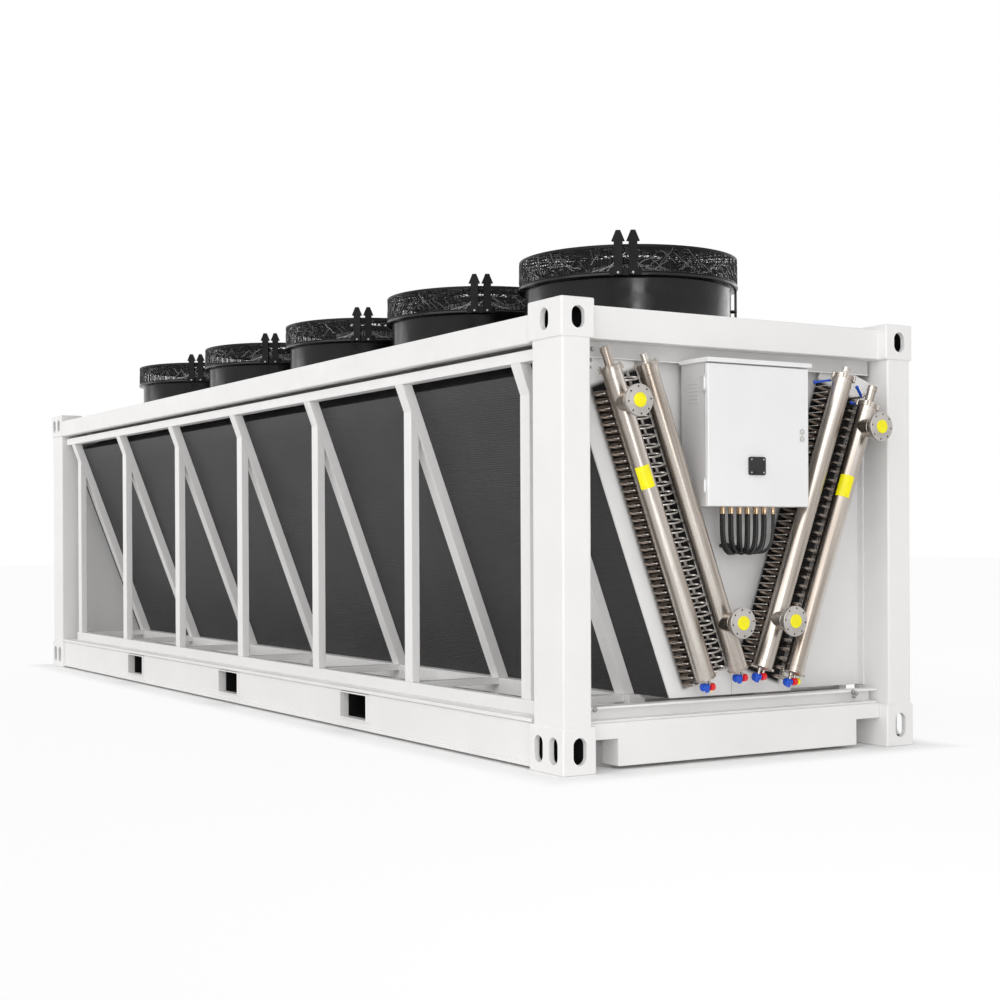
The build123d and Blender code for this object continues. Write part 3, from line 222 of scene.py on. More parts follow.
class Shape:
    """Points and faces of one piece."""

    def __init__(self):
        self.points = []
        self.faces = []

    def add(self, points, faces):
        first = len(self.points)
        self.points += [tuple(point) for point in points]
        self.faces += [tuple(first + index for index in face) for face in faces]
        return self

    def turned(self, origin, axis, profile, sides=24, turn=0.0):
        """A round solid about an axis, from (distance along it, radius) pairs, closed at both ends."""
        axis = Vector(axis).normalized()
        across = axis.orthogonal().normalized()
        other = axis.cross(across)
        origin = Vector(origin)
        points = []
        for along, radius in profile:
            for step in range(sides):
                angle = turn + 2 * pi * step / sides
                points.append(origin + axis * along + (across * cos(angle) + other * sin(angle)) * radius)
        faces = []
        for row in range(len(profile) - 1):
            for step in range(sides):
                near = row * sides + step
                far = row * sides + (step + 1) % sides
                faces.append((near, far, far + sides, near + sides))
        faces.append(tuple(range(sides))[::-1])
        last = (len(profile) - 1) * sides
        faces.append(tuple(range(last, last + sides)))
        return self.add(points, faces)

    def ball(self, centre, radius, sides=10):
        profile = []
        for step in range(9):
            angle = pi * step / 8
            profile.append((-radius * cos(angle), max(radius * sin(angle), radius * 0.05)))
        return self.turned(centre, UP, profile, sides)

    def ringed(self, centre, profile, sides=96):
        """A ring about the upright axis, from a closed loop of (radius, height) pairs."""
        points = []
        count = len(profile)
        for angle in turns(sides):
            for radius, height in profile:
                points.append((centre[0] + radius * cos(angle), centre[1] + radius * sin(angle), height))
        faces = []
        for step in range(sides):
            here = step * count
            there = (step + 1) % sides * count
            for index in range(count):
                after = (index + 1) % count
                faces.append((here + index, there + index, there + after, here + after))
        return self.add(points, faces)

    def tube(self, path, radius, sides=8, closed=False):
        """A round bar along a path."""
        path = [Vector(point) for point in path]
        count = len(path)
        points = []
        across = None
        for index, point in enumerate(path):
            before = path[index - 1] if index or closed else point
            after = path[(index + 1) % count] if index < count - 1 or closed else point
            ahead = (after - before).normalized()
            if across is None:
                across = ahead.orthogonal().normalized()
            across = (across - ahead * across.dot(ahead)).normalized()
            other = ahead.cross(across)
            for angle in turns(sides):
                points.append(point + (across * cos(angle) + other * sin(angle)) * radius)
        faces = []
        for index in range(count if closed else count - 1):
            here = index * sides
            there = (index + 1) % count * sides
            for step in range(sides):
                after = (step + 1) % sides
                faces.append((here + step, here + after, there + after, there + step))
        if not closed:
            faces.append(tuple(range(sides))[::-1])
            last = (count - 1) * sides
            faces.append(tuple(range(last, last + sides)))
        return self.add(points, faces)

    def block(self, low, high):
        points = [(x, y, z) for x in (low[0], high[0]) for y in (low[1], high[1]) for z in (low[2], high[2])]
        faces = [(0, 1, 3, 2), (4, 6, 7, 5), (0, 4, 5, 1), (2, 3, 7, 6), (0, 2, 6, 4), (1, 5, 7, 3)]
        return self.add(points, faces)

    def prism(self, outline, x0, x1):
        """A flat outline of (y, z) pairs drawn out along the length."""
        count = len(outline)
        points = [(x0, y, z) for y, z in outline] + [(x1, y, z) for y, z in outline]
        faces = [tuple(range(count))[::-1], tuple(range(count, 2 * count))]
        for index in range(count):
            after = (index + 1) % count
            faces.append((index, after, after + count, index + count))
        return self.add(points, faces)

    def bolt(self, place, axis, size, turn=0.3):
        """A washer and a hexagon head."""
        washer = [(0, size * 1.15), (size * 0.22, size * 1.15), (size * 0.25, size * 1.08)]
        self.turned(place, axis, washer, 16)
        head = [(size * 0.25, size * 0.9), (size * 0.8, size * 0.9), (size * 0.95, size * 0.7)]
        return self.turned(place, axis, head, 6, turn)


def round_edges(thing, width, weld=False):
    if weld:
        merge = thing.modifiers.new("merge", "WELD")
        merge.merge_threshold = 0.00002
    soft = thing.modifiers.new("edges", "BEVEL")
    soft.width = width
    soft.segments = 2
    soft.limit_method = "ANGLE"
    soft.angle_limit = radians(40)
    soft.harden_normals = True
    soft.use_clamp_overlap = True


def new_object(name, data):
    thing = bpy.data.objects.new(name, data)
    bpy.context.scene.collection.objects.link(thing)
    return thing


def piece(name, shape, look, body=ROOT, slot=None, bevel=0.0, angle=35.0, stands_for=()):
    """Makes a mesh piece that rides on a body. Its slot argument is not used."""
    mesh = bpy.data.meshes.new(name)
    mesh.from_pydata(shape.points, [], shape.faces)
    mesh.validate()
    for polygon in mesh.polygons:
        polygon.use_smooth = True
    mesh.set_sharp_from_angle(angle=radians(angle))
    mesh.materials.append(LOOKS[look])
    thing = new_object(name, mesh)
    if bevel:
        round_edges(thing, bevel)
    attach(thing, body)
    slot = slot or look
    for node in stands_for:
        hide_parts(node)
    return thing


def on_slope(side, along, offset):
    y = side * (COIL_FOOT_Y + along * SLOPE_SIN - offset * SLOPE_COS)
    return y, BASE_TOP + along * SLOPE_COS + offset * SLOPE_SIN


def slope_axis(side):
    return Vector((0, side * SLOPE_SIN, SLOPE_COS))


def inward_axis(side):
    return Vector((0, -side * SLOPE_COS, SLOPE_SIN))


def at_slope(side, along, offset, x):
    y, z = on_slope(side, along, offset)
    return Vector((x, y, z))


def forward_run(side, along, offset, start, end):
    """The ends of a straight run from back to front at one place on the slope."""
    return [at_slope(side, along, offset, x) for x in (start, end)]


def bend_places(pitch):
    return [BEND_START + index * pitch for index in range(int(BEND_RUN / pitch) + 1)]


def spot(centre, radius, angle, height):
    return Vector((centre[0] + radius * cos(angle), centre[1] + radius * sin(angle), height))


def circle(centre, radius, height, count):
    return [spot(centre, radius, angle, height) for angle in turns(count)]


def set_inputs(node, values):
    for name, value in values.items():
        node.inputs[name].default_value = value
    return node


class Look:
    """A procedural material under construction."""

    def __init__(self, name, base, roughness, metallic=0.0, shine=0.5):
        self.material = bpy.data.materials.new(name)
        self.material.use_nodes = True
        self.tree = self.material.node_tree
        self.shader = set_inputs(self.tree.nodes["Principled BSDF"], {
            "Base Color": (*base, 1), "Roughness": roughness, "Metallic": metallic,
            "Specular IOR Level": shine})
        self.place = self.node("TexCoord", {}).outputs["Object"]
        self.bump_from = None

    def node(self, kind, values):
        return set_inputs(self.tree.nodes.new("ShaderNode" + kind), values)

    def link(self, start, end):
        self.tree.links.new(start, end)

    def noise(self, scale, detail=3.0, where=None):
        node = self.node("TexNoise", {"Scale": scale, "Detail": detail})
        self.link(where or self.place, node.inputs["Vector"])
        return node.outputs["Fac"]

    def bands(self, scale, direction, distortion=0.0):
        node = self.node("TexWave", {"Scale": scale, "Distortion": distortion})
        node.wave_type = "BANDS"
        node.bands_direction = direction
        node.wave_profile = "SIN"
        self.link(self.place, node.inputs["Vector"])
        return node.outputs["Fac"]

    def measure(self, direction, start=0.0):
        """Distance of a point along a direction."""
        dot = self.node("VectorMath", {})
        dot.operation = "DOT_PRODUCT"
        dot.inputs[1].default_value = direction
        self.link(self.place, dot.inputs[0])
        return self.combine(dot.outputs["Value"], "ADD", start)

    def combine(self, value, operation, other=0.0):
        """Result of an operation on a value and a number or a second value."""
        node = self.node("Math", {})
        node.operation = operation
        self.link(value, node.inputs[0])
        if isinstance(other, float):
            node.inputs[1].default_value = other
        else:
            self.link(other, node.inputs[1])
        return node.outputs["Value"]

    def grain(self, side, across, along):
        """Coordinates squeezed across the slope and drawn out along it."""
        join = self.node("CombineXYZ", {})
        axes = (Vector((across, 0, 0)), inward_axis(side) * across, slope_axis(side) * along)
        for axis, socket in zip(axes, join.inputs):
            self.link(self.measure(axis), socket)
        return join.outputs["Vector"]

    def ranged(self, value, low, high, start=0.3, end=0.7):
        node = self.node("MapRange", {"From Min": start, "From Max": end, "To Min": low, "To Max": high})
        node.interpolation_type = "SMOOTHSTEP"
        self.link(value, node.inputs["Value"])
        return node.outputs["Result"]

    def tint(self, value, dark, light, start=0.3, end=0.7):
        """Colours the surface between two tints by a value, over any tint it already has."""
        ramp = self.node("ValToRGB", {})
        for element, position, colour in zip(ramp.color_ramp.elements, (start, end), (dark, light)):
            element.position = position
            element.color = (*colour, 1)
        self.link(value, ramp.inputs["Fac"])
        socket = self.shader.inputs["Base Color"]
        result = ramp.outputs["Color"]
        if socket.links:
            blend = self.node("Mix", {})
            blend.data_type = "RGBA"
            blend.blend_type = "MULTIPLY"
            blend.inputs["Factor"].default_value = 1.0
            self.link(socket.links[0].from_socket, blend.inputs["A"])
            self.link(result, blend.inputs["B"])
            result = blend.outputs["Result"]
        self.link(result, socket)
        return self

    def gloss(self, value, low, high, start=0.3, end=0.7):
        self.link(self.ranged(value, low, high, start, end), self.shader.inputs["Roughness"])
        return self

    def bump(self, value, height, strength=0.4):
        node = self.node("Bump", {"Distance": height, "Strength": strength})
        self.link(value, node.inputs["Height"])
        if self.bump_from:
            self.link(self.bump_from, node.inputs["Normal"])
        self.bump_from = node.outputs["Normal"]
        self.link(self.bump_from, self.shader.inputs["Normal"])
        return self


def scaled(tint, amount):
    return tuple(channel * amount for channel in tint)


def powder_coat(name, base, roughness=0.42, peel=0.0006, spread=0.03, shine=0.5):
    look = Look(name, base, roughness, shine=shine)
    look.tint(look.noise(2.3, 5.0), scaled(base, 1 - spread), scaled(base, 1 + spread * 0.4))
    look.gloss(look.noise(14.0, 4.0), roughness - 0.06, roughness + 0.08)
    look.bump(look.noise(420.0, 2.0), peel, 0.25)
    return look.material


def bare_metal(name, base, roughness=0.28, spread=0.2, metallic=1.0):
    look = Look(name, base, roughness, metallic)
    look.tint(look.noise(60.0, 3.0), scaled(base, 1 - spread), base)
    look.gloss(look.noise(160.0, 3.0), roughness - 0.06, roughness + 0.10)
    look.bump(look.noise(500.0, 2.0), 0.0003, 0.2)
    return look.material


def steel_pipe(name, side):
    """Brushed steel: fine lines and broad pale and dark streaks, all along the pipe."""
    look = Look(name, (0.6, 0.55, 0.5), 0.24, 1.0)
    streaks = look.noise(1.0, 2.0, look.grain(side, 20.0, 0.6))
    lines = look.noise(1.0, 4.0, look.grain(side, 420.0, 6.0))
    look.tint(streaks, (0.33, 0.275, 0.23), (0.78, 0.73, 0.68), 0.34, 0.66)
    look.tint(lines, (0.88, 0.88, 0.87), (1.0, 1.0, 1.0))
    look.gloss(lines, 0.22, 0.34)
    look.bump(lines, 0.0002, 0.15)
    return look.material


def plastic(name, base, roughness=0.35):
    look = Look(name, base, roughness)
    look.tint(look.noise(20.0, 3.0), scaled(base, 0.88), base)
    look.gloss(look.noise(60.0, 3.0), roughness - 0.05, roughness + 0.07)
    look.bump(look.noise(700.0, 2.0), 0.0003, 0.2)
    return look.material


def fin_block(name):
    """Dark coated fins: fine lines across the face and faint tube rows behind them."""
    base = (0.034, 0.0325, 0.0345)
    look = Look(name, base, 0.55)
    look.tint(look.noise(3.0, 4.0), scaled(base, 0.86), scaled(base, 1.12))
    rows = look.bands(24.0, "Z", 0.6)
    look.tint(rows, (0.84, 0.84, 0.84), (1.08, 1.08, 1.08), 0.2, 0.8)
    fins = look.bands(70.0, "X")
    look.tint(fins, (0.84, 0.84, 0.84), (1.0, 1.0, 1.0), 0.2, 0.8)
    look.bump(rows, 0.003, 0.35)
    look.bump(fins, 0.002, 0.3)
    return look.material


def sheet_painted_shade_look(name, side):
    """Pale sheet with painted shade: black, with soft borders like a blurred shadow, over the band where the
    tube ends come through.
    """
    pale = (0.88, 0.875, 0.865)
    look = Look(name, pale, 0.5, shine=0.15)
    offset = look.measure(inward_axis(side), COIL_FOOT_Y * SLOPE_COS - BASE_TOP * SLOPE_SIN)
    along = look.measure(slope_axis(side), -COIL_FOOT_Y * SLOPE_SIN - BASE_TOP * SLOPE_COS)
    # Painted shade: the band behind the bends turns black, faded at its edges.
    painted_shade = look.ranged(offset, 0.0, 1.0, 0.078, 0.118)
    inner = look.ranged(offset, 1.0, 0.0, SHEET_DEPTH + 0.002, SHEET_DEPTH + 0.006)
    painted_shade = look.combine(painted_shade, "MULTIPLY", inner)
    painted_shade = look.combine(painted_shade, "MULTIPLY", look.ranged(along, 0.0, 1.0, -0.005, 0.025))
    painted_shade = look.combine(painted_shade, "MULTIPLY", look.ranged(along, 1.0, 0.0, 1.715, 1.750))
    look.tint(painted_shade, pale, (0.007, 0.006, 0.006), 0.0, 1.0)
    look.tint(look.noise(6.0, 4.0), (0.96, 0.96, 0.96), (1.0, 1.0, 1.0))
    look.bump(look.noise(420.0, 2.0), 0.0006, 0.25)
    return look.material


def pocket_look(name, mouth):
    """Painted shade: white at the mouth of a pocket and black further in."""
    look = Look(name, (0.86, 0.85, 0.84), 0.5)
    depth = look.combine(look.measure(SIDEWAYS), "ABSOLUTE")
    lip = mouth - POCKET_LIP
    near = look.ranged(depth, 0.0, 1.0, lip - 0.002, lip + 0.002)
    look.tint(near, (0.004, 0.004, 0.004), (0.80, 0.79, 0.78), 0.0, 1.0)
    look.tint(look.noise(5.0, 4.0), (0.95, 0.95, 0.95), (1.0, 1.0, 1.0))
    look.bump(look.noise(420.0, 2.0), 0.0006, 0.25)
    return look.material


LOOK_TABLE = (
    ("white_frame", powder_coat, (0.855, 0.845, 0.835)),
    ("grey_panel", powder_coat, (0.84, 0.832, 0.825), 0.4),
    ("coil_fins", fin_block),
    ("return_bends", bare_metal, (0.92, 0.87, 0.82), 0.24, 0.15, 0.35),
    ("bend_bronze", bare_metal, (0.52, 0.44, 0.38), 0.32, 0.3, 0.5),
    ("bend_brown", bare_metal, (0.24, 0.19, 0.155), 0.4, 0.4, 0.6),
    ("spine_steel", bare_metal, (0.50, 0.46, 0.43), 0.3, 0.25, 0.5),
    # The tube sheets carry painted shade behind the bends.
    ("sheet_left", sheet_painted_shade_look, -1),
    ("sheet_right", sheet_painted_shade_look, 1),
    ("stainless_left", steel_pipe, -1),
    ("stainless_right", steel_pipe, 1),
    ("stainless", bare_metal, (0.50, 0.45, 0.40), 0.3),
    ("flange_steel", bare_metal, (0.58, 0.55, 0.52), 0.42, 0.1),
    ("yellow_plastic", plastic, (0.95, 0.86, 0.0), 0.35),
    ("valve_blue", plastic, (0.008, 0.085, 0.60), 0.22),
    ("valve_red", plastic, (0.86, 0.012, 0.014), 0.22),
    ("tip_pale", plastic, (0.88, 0.80, 0.45), 0.3),
    ("fan_black", powder_coat, (0.0035, 0.0035, 0.004), 0.2, 0.0002, 0.1, 0.42),
    ("guard_black", powder_coat, (0.003, 0.003, 0.0035), 0.42, 0.0002, 0.15, 0.22),
    ("guard_wire", bare_metal, (0.20, 0.20, 0.205), 0.25, 0.4),
    ("motor_grey", powder_coat, (0.50, 0.50, 0.515), 0.35, 0.0005, 0.1),
    ("motor_dark", powder_coat, (0.045, 0.045, 0.048), 0.4, 0.0005, 0.1),
    ("impeller_black", plastic, (0.012, 0.012, 0.013), 0.5),
    ("bracket_grey", powder_coat, (0.003, 0.003, 0.0035), 0.3, 0.0003, 0.1, 0.15),
    ("cabinet_white", powder_coat, (0.84, 0.838, 0.84), 0.42, 0.0009),
    # Painted shade: a greyer coat for the cabinet body and its louvres, standing in for the shade on its
    # sides.
    ("cabinet_grey", powder_coat, (0.62, 0.61, 0.605), 0.42, 0.0009),
    ("lock_metal", bare_metal, (0.62, 0.61, 0.59), 0.2),
    ("plate_black", plastic, (0.010, 0.010, 0.011), 0.4),
    ("brass", bare_metal, (0.72, 0.52, 0.33), 0.22, 0.15),
    ("cable_black", plastic, (0.006, 0.006, 0.006), 0.4),
    ("bolt_zinc", bare_metal, (0.42, 0.41, 0.40), 0.35),
    # Painted shade for the inside of hollows and holes.
    ("slot_dark", powder_coat, (0.006, 0.006, 0.006), 0.7, 0.0006, 0.03, 0.2),
    # Painted shade: a darker grey for the strip under the end header.
    ("strip_grey", powder_coat, (0.60, 0.595, 0.585), 0.45),
    # Painted shade inside the fork pockets.
    ("fork_pocket", pocket_look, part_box("fork_pockets")[1][1]),
)
LOOKS = {name: make(name, *values) for name, make, *values in LOOK_TABLE}
# Painted shade: the cabinet body and the strip above the header end take greyer looks.
OWN_LOOKS = {"cabinet_body": "cabinet_grey", "front_top_panel": "strip_grey"}

for part in frame["record"]["subparts"]:
    node = NODES[part["node"]]
    look = LOOKS[OWN_LOOKS.get(part["node"], part["material_slot"])]
    node.data.materials.clear()
    node.data.materials.append(look)
    for polygon in node.data.polygons:
        polygon.material_index = 0

# Widths of softened edges, in metres.
ROUNDED = {
    0.005: ("corner_posts",),
    0.004: ("top_side_rails", "end_headers", "bottom_side_rails", "end_sills", "side_posts"),
    0.003: ("base_rails", "base_ties", "unit_top_rails", "side_braces", "floor_cross_members"),
    0.002: (
        "base_end_channels", "fork_pockets", "front_centre_panel", "front_side_panel", "front_top_panel",
        "rear_panel", "deck_side_panels", "deck_cross_panels", "deck_end_panels", "cabinet_body",
        "cabinet_rails", "fan_base_plates", "coils"),
}
for width, names in ROUNDED.items():
    for name in names:
        round_edges(NODES[name], width, weld=True)


def darken_cavities(name, bottom, top):
    """Puts painted shade, the dark look, on the inner walls of the hollow corner fittings."""
    node = NODES[name]
    node.data.materials.append(LOOKS["slot_dark"])
    for polygon in node.data.polygons:
        x, y, z = node.matrix_world @ polygon.center
        end = HALF_LENGTH - abs(x)
        edge = HALF_WIDTH - abs(y)
        depth = min(end, FITTING_LENGTH - end, edge, FITTING_WIDTH - edge, z - bottom, top - z)
        if depth > CAVITY_DEPTH:
            polygon.material_index = 1


for name, heights in FITTING_HEIGHTS.items():
    darken_cavities(name, *heights)


def darken_pockets():
    """Puts the pocket look, with its painted shade, on the faces of the fork pockets that look inwards."""
    node = NODES["fork_pockets"]
    node.data.materials.append(LOOKS["fork_pocket"])
    low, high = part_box("fork_pockets")
    middle_z = (low[2] + high[2]) / 2
    turn = node.matrix_world.to_3x3()
    for polygon in node.data.polygons:
        x, y, z = node.matrix_world @ polygon.center
        normal = turn @ polygon.normal
        middle_x = min(POCKET_XS, key=lambda place: abs(place - x))
        if normal.x * (middle_x - x) + normal.z * (middle_z - z) > 0.001:
            polygon.material_index = 1


darken_pockets()


def tube_loop(side, along, offset, half, lean):
    """A flattened loop of tube, leaning so that its front half shows below its back half."""
    path = []
    for angle in turns(LOOP_STEPS):
        rise = LOOP_TILT * cos(angle) - lean * sin(angle)
        x = LOOP_X + LOOP_DEPTH * sin(angle)
        path.append(at_slope(side, along + rise, offset + half * cos(angle), x))
    return path


def coarse_row(side, offset, look):
    """Loops on short legs, with steel stubs between them."""
    loops = Shape()
    spine = Shape()
    run = COARSE_PITCH - 2 * STUB_GAP
    end = STUB_RADIUS - 0.003
    stub = [(0, end), (0.002, STUB_RADIUS), (run - 0.002, STUB_RADIUS), (run, end)]
    for along in bend_places(COARSE_PITCH):
        loops.tube(tube_loop(side, along, offset, LOOP_HALF, OPEN_LEAN), LOOP_TUBE, 6, closed=True)
        for shift in (-0.6, 0.6):
            leg = forward_run(side, along, offset + shift * LOOP_HALF, SHEET_FACE_X, LEG_END_X)
            loops.tube(leg, LOOP_TUBE * 0.6, 6)
        spine.turned(at_slope(side, along + STUB_GAP, offset, LOOP_X), slope_axis(side), stub, 14)
    label = SIDES[side]
    piece(f"coarse_bends_{label}", loops, look, slot="return_bends")
    piece(f"bend_stubs_{label}", spine, "spine_steel", slot="return_bends")


def fine_row(side, offset, half, dot_offset):
    """Dark bends side by side, with a bright weld dot by the header at each."""
    bars = Shape()
    dots = Shape()
    for along in bend_places(FINE_PITCH):
        bars.tube(tube_loop(side, along, offset, half, CLOSE_LEAN), FINE_TUBE, 6, closed=True)
        bars.tube(forward_run(side, along, offset, SHEET_FACE_X, LEG_END_X), FINE_LEG, 6)
        dots.ball(at_slope(side, along + DOT_RISE, dot_offset, DOT_X), 0.0045, 8)
        dots.tube(forward_run(side, along + DOT_RISE, dot_offset, SHEET_FACE_X, DOT_LEG_END_X), 0.0022, 6)
    label = SIDES[side]
    piece(f"fine_bends_{label}", bars, "bend_brown", slot="return_bends")
    piece(f"weld_dots_{label}", dots, "return_bends")


def tube_sheet(side):
    """The end plate of a coil with the plate below its slanted foot."""
    shape = Shape()
    outline = [on_slope(side, along, offset) for along, offset in SHEET_CORNERS]
    shape.prism(outline, COIL_FRONT_X, SHEET_FACE_X)
    inner_y, inner_z = on_slope(side, 0.0, SHEET_DEPTH)
    middle = side * 0.001
    foot = [on_slope(side, 0.0, 0.0), (middle, BASE_TOP), (middle, inner_z), (inner_y, inner_z)]
    shape.prism(foot, COIL_FRONT_X, SHEET_FACE_X)
    label = SIDES[side]
    return piece(f"tube_sheet_{label}", shape, f"sheet_{label}", slot="return_bends")


def coil_ends():
    sheets = [tube_sheet(side) for side in SIDES]
    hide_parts("tube_sheets")
    coarse_row(-1, INNER_ROW - 0.014, "return_bends")
    coarse_row(1, OUTER_ROW, "bend_bronze")
    fine_row(-1, OUTER_ROW, LOOP_HALF, OUTER_OFFSET - DOT_GAP)
    fine_row(1, INNER_ROW + 0.025, LOOP_HALF + 0.020, INNER_OFFSET + DOT_GAP)


coil_ends()


def dome(radius):
    """Height of the top of the guard, which falls a little towards its edge."""
    reach = max(0.0, (radius - DOME_START) / (GUARD_RADIUS - DOME_START))
    return GUARD_TOP - 0.004 - 0.014 * reach ** 2


def guard(centre):
    """A wire basket of close rings, uprights and spokes, with a solid band round its top edge."""
    shape = Shape()
    edge = dome(GUARD_RADIUS) + 0.003
    wall = GUARD_RADIUS - 0.004
    shape.ringed(centre, [
        (GUARD_RADIUS, edge - GUARD_BAND), (GUARD_RADIUS, edge), (GUARD_RADIUS - 0.012, edge + 0.002),
        (GUARD_RADIUS - 0.012, edge - 0.002), (wall, edge - 0.005), (wall, edge - GUARD_BAND)])
    shape.ringed(centre, [
        (GUARD_RADIUS, COWL_TOP), (GUARD_RADIUS, COWL_TOP + 0.006), (GUARD_RADIUS - 0.008, COWL_TOP + 0.006),
        (GUARD_RADIUS - 0.008, COWL_TOP)])
    height = COWL_TOP + 0.012
    while height < edge - GUARD_BAND:
        shape.tube(circle(centre, wall, height, GUARD_STEPS), GUARD_WIRE * 0.8, 4, closed=True)
        height += GUARD_WALL_PITCH
    radius = MOTOR_RADIUS + 0.015
    while radius < wall:
        shape.tube(circle(centre, radius, dome(radius), GUARD_STEPS), GUARD_WIRE, 4, closed=True)
        radius += GUARD_TOP_PITCH
    for angle in turns(GUARD_UPRIGHTS):
        lean = chance.uniform(-0.03, 0.03)
        low = spot(centre, wall, angle + lean, COWL_TOP + 0.003)
        high = spot(centre, wall, angle - lean, edge - 0.004)
        shape.tube([low, high], GUARD_WIRE, 4)
    for step, angle in enumerate(turns(GUARD_SPOKES)):
        path = []
        for part in range(5):
            radius = MOTOR_RADIUS - 0.02 + (wall - MOTOR_RADIUS + 0.02) * part / 4
            path.append(spot(centre, radius, angle + 0.16 * (1 - part / 4), dome(radius) - 0.009))
        shape.tube(path, GUARD_WIRE * (2.2 if step % 2 else 1.3), 5)
    return shape


def loose_wires(centre):
    """Thin bent wires over the basket, no two alike."""
    shape = Shape()
    wall = GUARD_RADIUS - 0.001
    for step in range(WALL_WIRES):
        angle = 2 * pi * (step + chance.random()) / WALL_WIRES
        sweep = chance.choice((-1, 1)) * chance.uniform(0.04, 0.16)
        low = chance.uniform(0.004, 0.060)
        rise = chance.uniform(0.040, 0.085)
        path = []
        for part in range(6):
            height = COWL_TOP + low + chance.uniform(-0.006, 0.006) + rise * part / 5
            path.append(spot(centre, wall, angle + sweep * part / 5, height))
        shape.tube(path, GUARD_WIRE * 0.8, 4)
    for step in range(TOP_WIRES):
        angle = 2 * pi * (step + chance.random()) / TOP_WIRES
        start = chance.uniform(0.27, 0.50)
        path = []
        for part in range(6):
            radius = start + 0.14 * part / 5
            turn = angle + chance.uniform(0.05, 0.09) * part * chance.choice((-0.3, 1.0))
            path.append(spot(centre, radius, turn, dome(radius) - 0.014))
        shape.tube(path, GUARD_WIRE * 0.9, 4)
    return shape


def cowl_shape(centre):
    """A drum with a rolled rim and a foot flange, and a conduit that runs up its side."""
    inner = COWL_RADIUS - COWL_WALL
    rim = RIM_RADIUS
    low = COWL_TOP - RIM_HEIGHT
    profile = [
        (inner, COWL_BOTTOM), (COWL_RADIUS + 0.018, COWL_BOTTOM), (COWL_RADIUS + 0.018, COWL_BOTTOM + 0.004),
        (COWL_RADIUS + 0.003, COWL_BOTTOM + 0.005), (COWL_RADIUS, COWL_BOTTOM + 0.009),
        (COWL_RADIUS, low - 0.012), (COWL_RADIUS + 0.004, low - 0.004), (COWL_RADIUS + 0.012, low),
        (rim - 0.006, low + 0.001), (rim - 0.002, low + 0.004), (rim, low + RIM_HEIGHT / 2),
        (rim - 0.002, COWL_TOP - 0.004), (rim - 0.006, COWL_TOP - 0.001), (rim - 0.012, COWL_TOP),
        (inner + 0.010, COWL_TOP), (inner + 0.003, COWL_TOP - 0.002), (inner, COWL_TOP - 0.010)]
    shape = Shape().ringed(centre, profile, 128)
    angle = radians(CONDUIT_ANGLE)
    conduit = [spot(centre, CONDUIT_PLACE, angle, height) for height in (COWL_BOTTOM, low + 0.004)]
    shape.tube(conduit, 0.008, 10)
    for height in (0.10, 0.25):
        clip = [spot(centre, radius, angle, COWL_BOTTOM + height) for radius in (COWL_RADIUS - 0.002, 0.650)]
        shape.tube(clip, 0.010, 8)
    return shape


def motor_shape(centre):
    """A facetted motor drum with raised ribs round its upper part."""
    shape = Shape()
    profile = [
        (0, 0.170), (0.012, 0.215), (0.110, 0.215), (0.112, 0.262), (0.178, 0.262), (0.184, 0.250)]
    shape.turned((*centre, MOTOR_BOTTOM), UP, profile, 14)
    for angle in turns(MOTOR_RIBS):
        foot = spot(centre, 0.258, angle, MOTOR_BOTTOM + 0.114)
        shape.tube([foot, foot + Vector((0, 0, 0.062))], 0.0055, 6)
    return shape


def motor_lid(centre):
    """The lid over a motor: a rim, a raised boss and ribs between them."""
    shape = Shape()
    top = MOTOR_TOP - 0.048
    rim = [(0.0, 0.255), (0.004, 0.262), (0.036, 0.262), (0.040, 0.252)]
    shape.turned((*centre, top), UP, rim, 40)
    boss = [(0.0, 0.110), (0.010, 0.104), (0.013, 0.096)]
    shape.turned((*centre, top + 0.036), UP, boss, 32)
    for angle in turns(LID_RIBS):
        shape.tube([spot(centre, radius, angle, top + 0.040) for radius in (0.100, 0.248)], 0.005, 6)
    return shape


def bracket_details(centre, angle):
    """Thin struts beside the twin posts of a guard bracket."""
    struts = Shape()
    for side in SIDES:
        for reach, rise in ((9.0, 0.085), (13.0, 0.060), (17.0, 0.040)):
            top = spot(centre, 0.662, radians(angle + side * BRACKET_SPREAD), COWL_TOP + rise)
            foot = spot(centre, 0.657, radians(angle + side * reach), COWL_TOP + 0.004)
            struts.tube([top, foot], 0.0035, 6)
    return struts


def fans():
    for index, (x, angle) in enumerate(zip(FAN_XS, BRACKET_ANGLES), start=1):
        centre = (x, 0.0)
        basket = piece(f"guard_{index}", guard(centre), "guard_black", slot="fan_black")
        piece(f"guard_wires_{index}", loose_wires(centre), "guard_wire", slot="fan_black")
        piece(f"cowl_{index}", cowl_shape(centre), "fan_black", stands_for=(f"fan_cowl_{index}",))
        motor = piece(f"motor_{index}", motor_shape(centre), "motor_grey", slot="fan_black", angle=12.0)
        piece(f"motor_lid_{index}", motor_lid(centre), "motor_dark", slot="fan_black")
        piece(f"bracket_struts_{index}", bracket_details(centre, angle), "guard_wire", slot="fan_black")
        bolts = Shape()
        for step in range(COWL_BOLTS):
            turn = 2 * pi * (step + 0.5) / COWL_BOLTS
            bolts.bolt(spot(centre, COWL_RADIUS + 0.010, turn, COWL_BOTTOM + 0.0035), UP, 0.007)
        for side in SIDES:
            turn = radians(angle + side * BRACKET_SPREAD)
            out = (cos(turn), sin(turn), 0)
            bolts.bolt(spot(centre, BRACKET_FACE - 0.001, turn, COWL_TOP - 0.010), out, 0.006)
        piece(f"fan_bolts_{index}", bolts, "bolt_zinc", slot="lock_metal")
        if index == 1:
            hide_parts("fan_guard_walls", "fan_guard_tops")
            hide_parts("fan_motors")


fans()


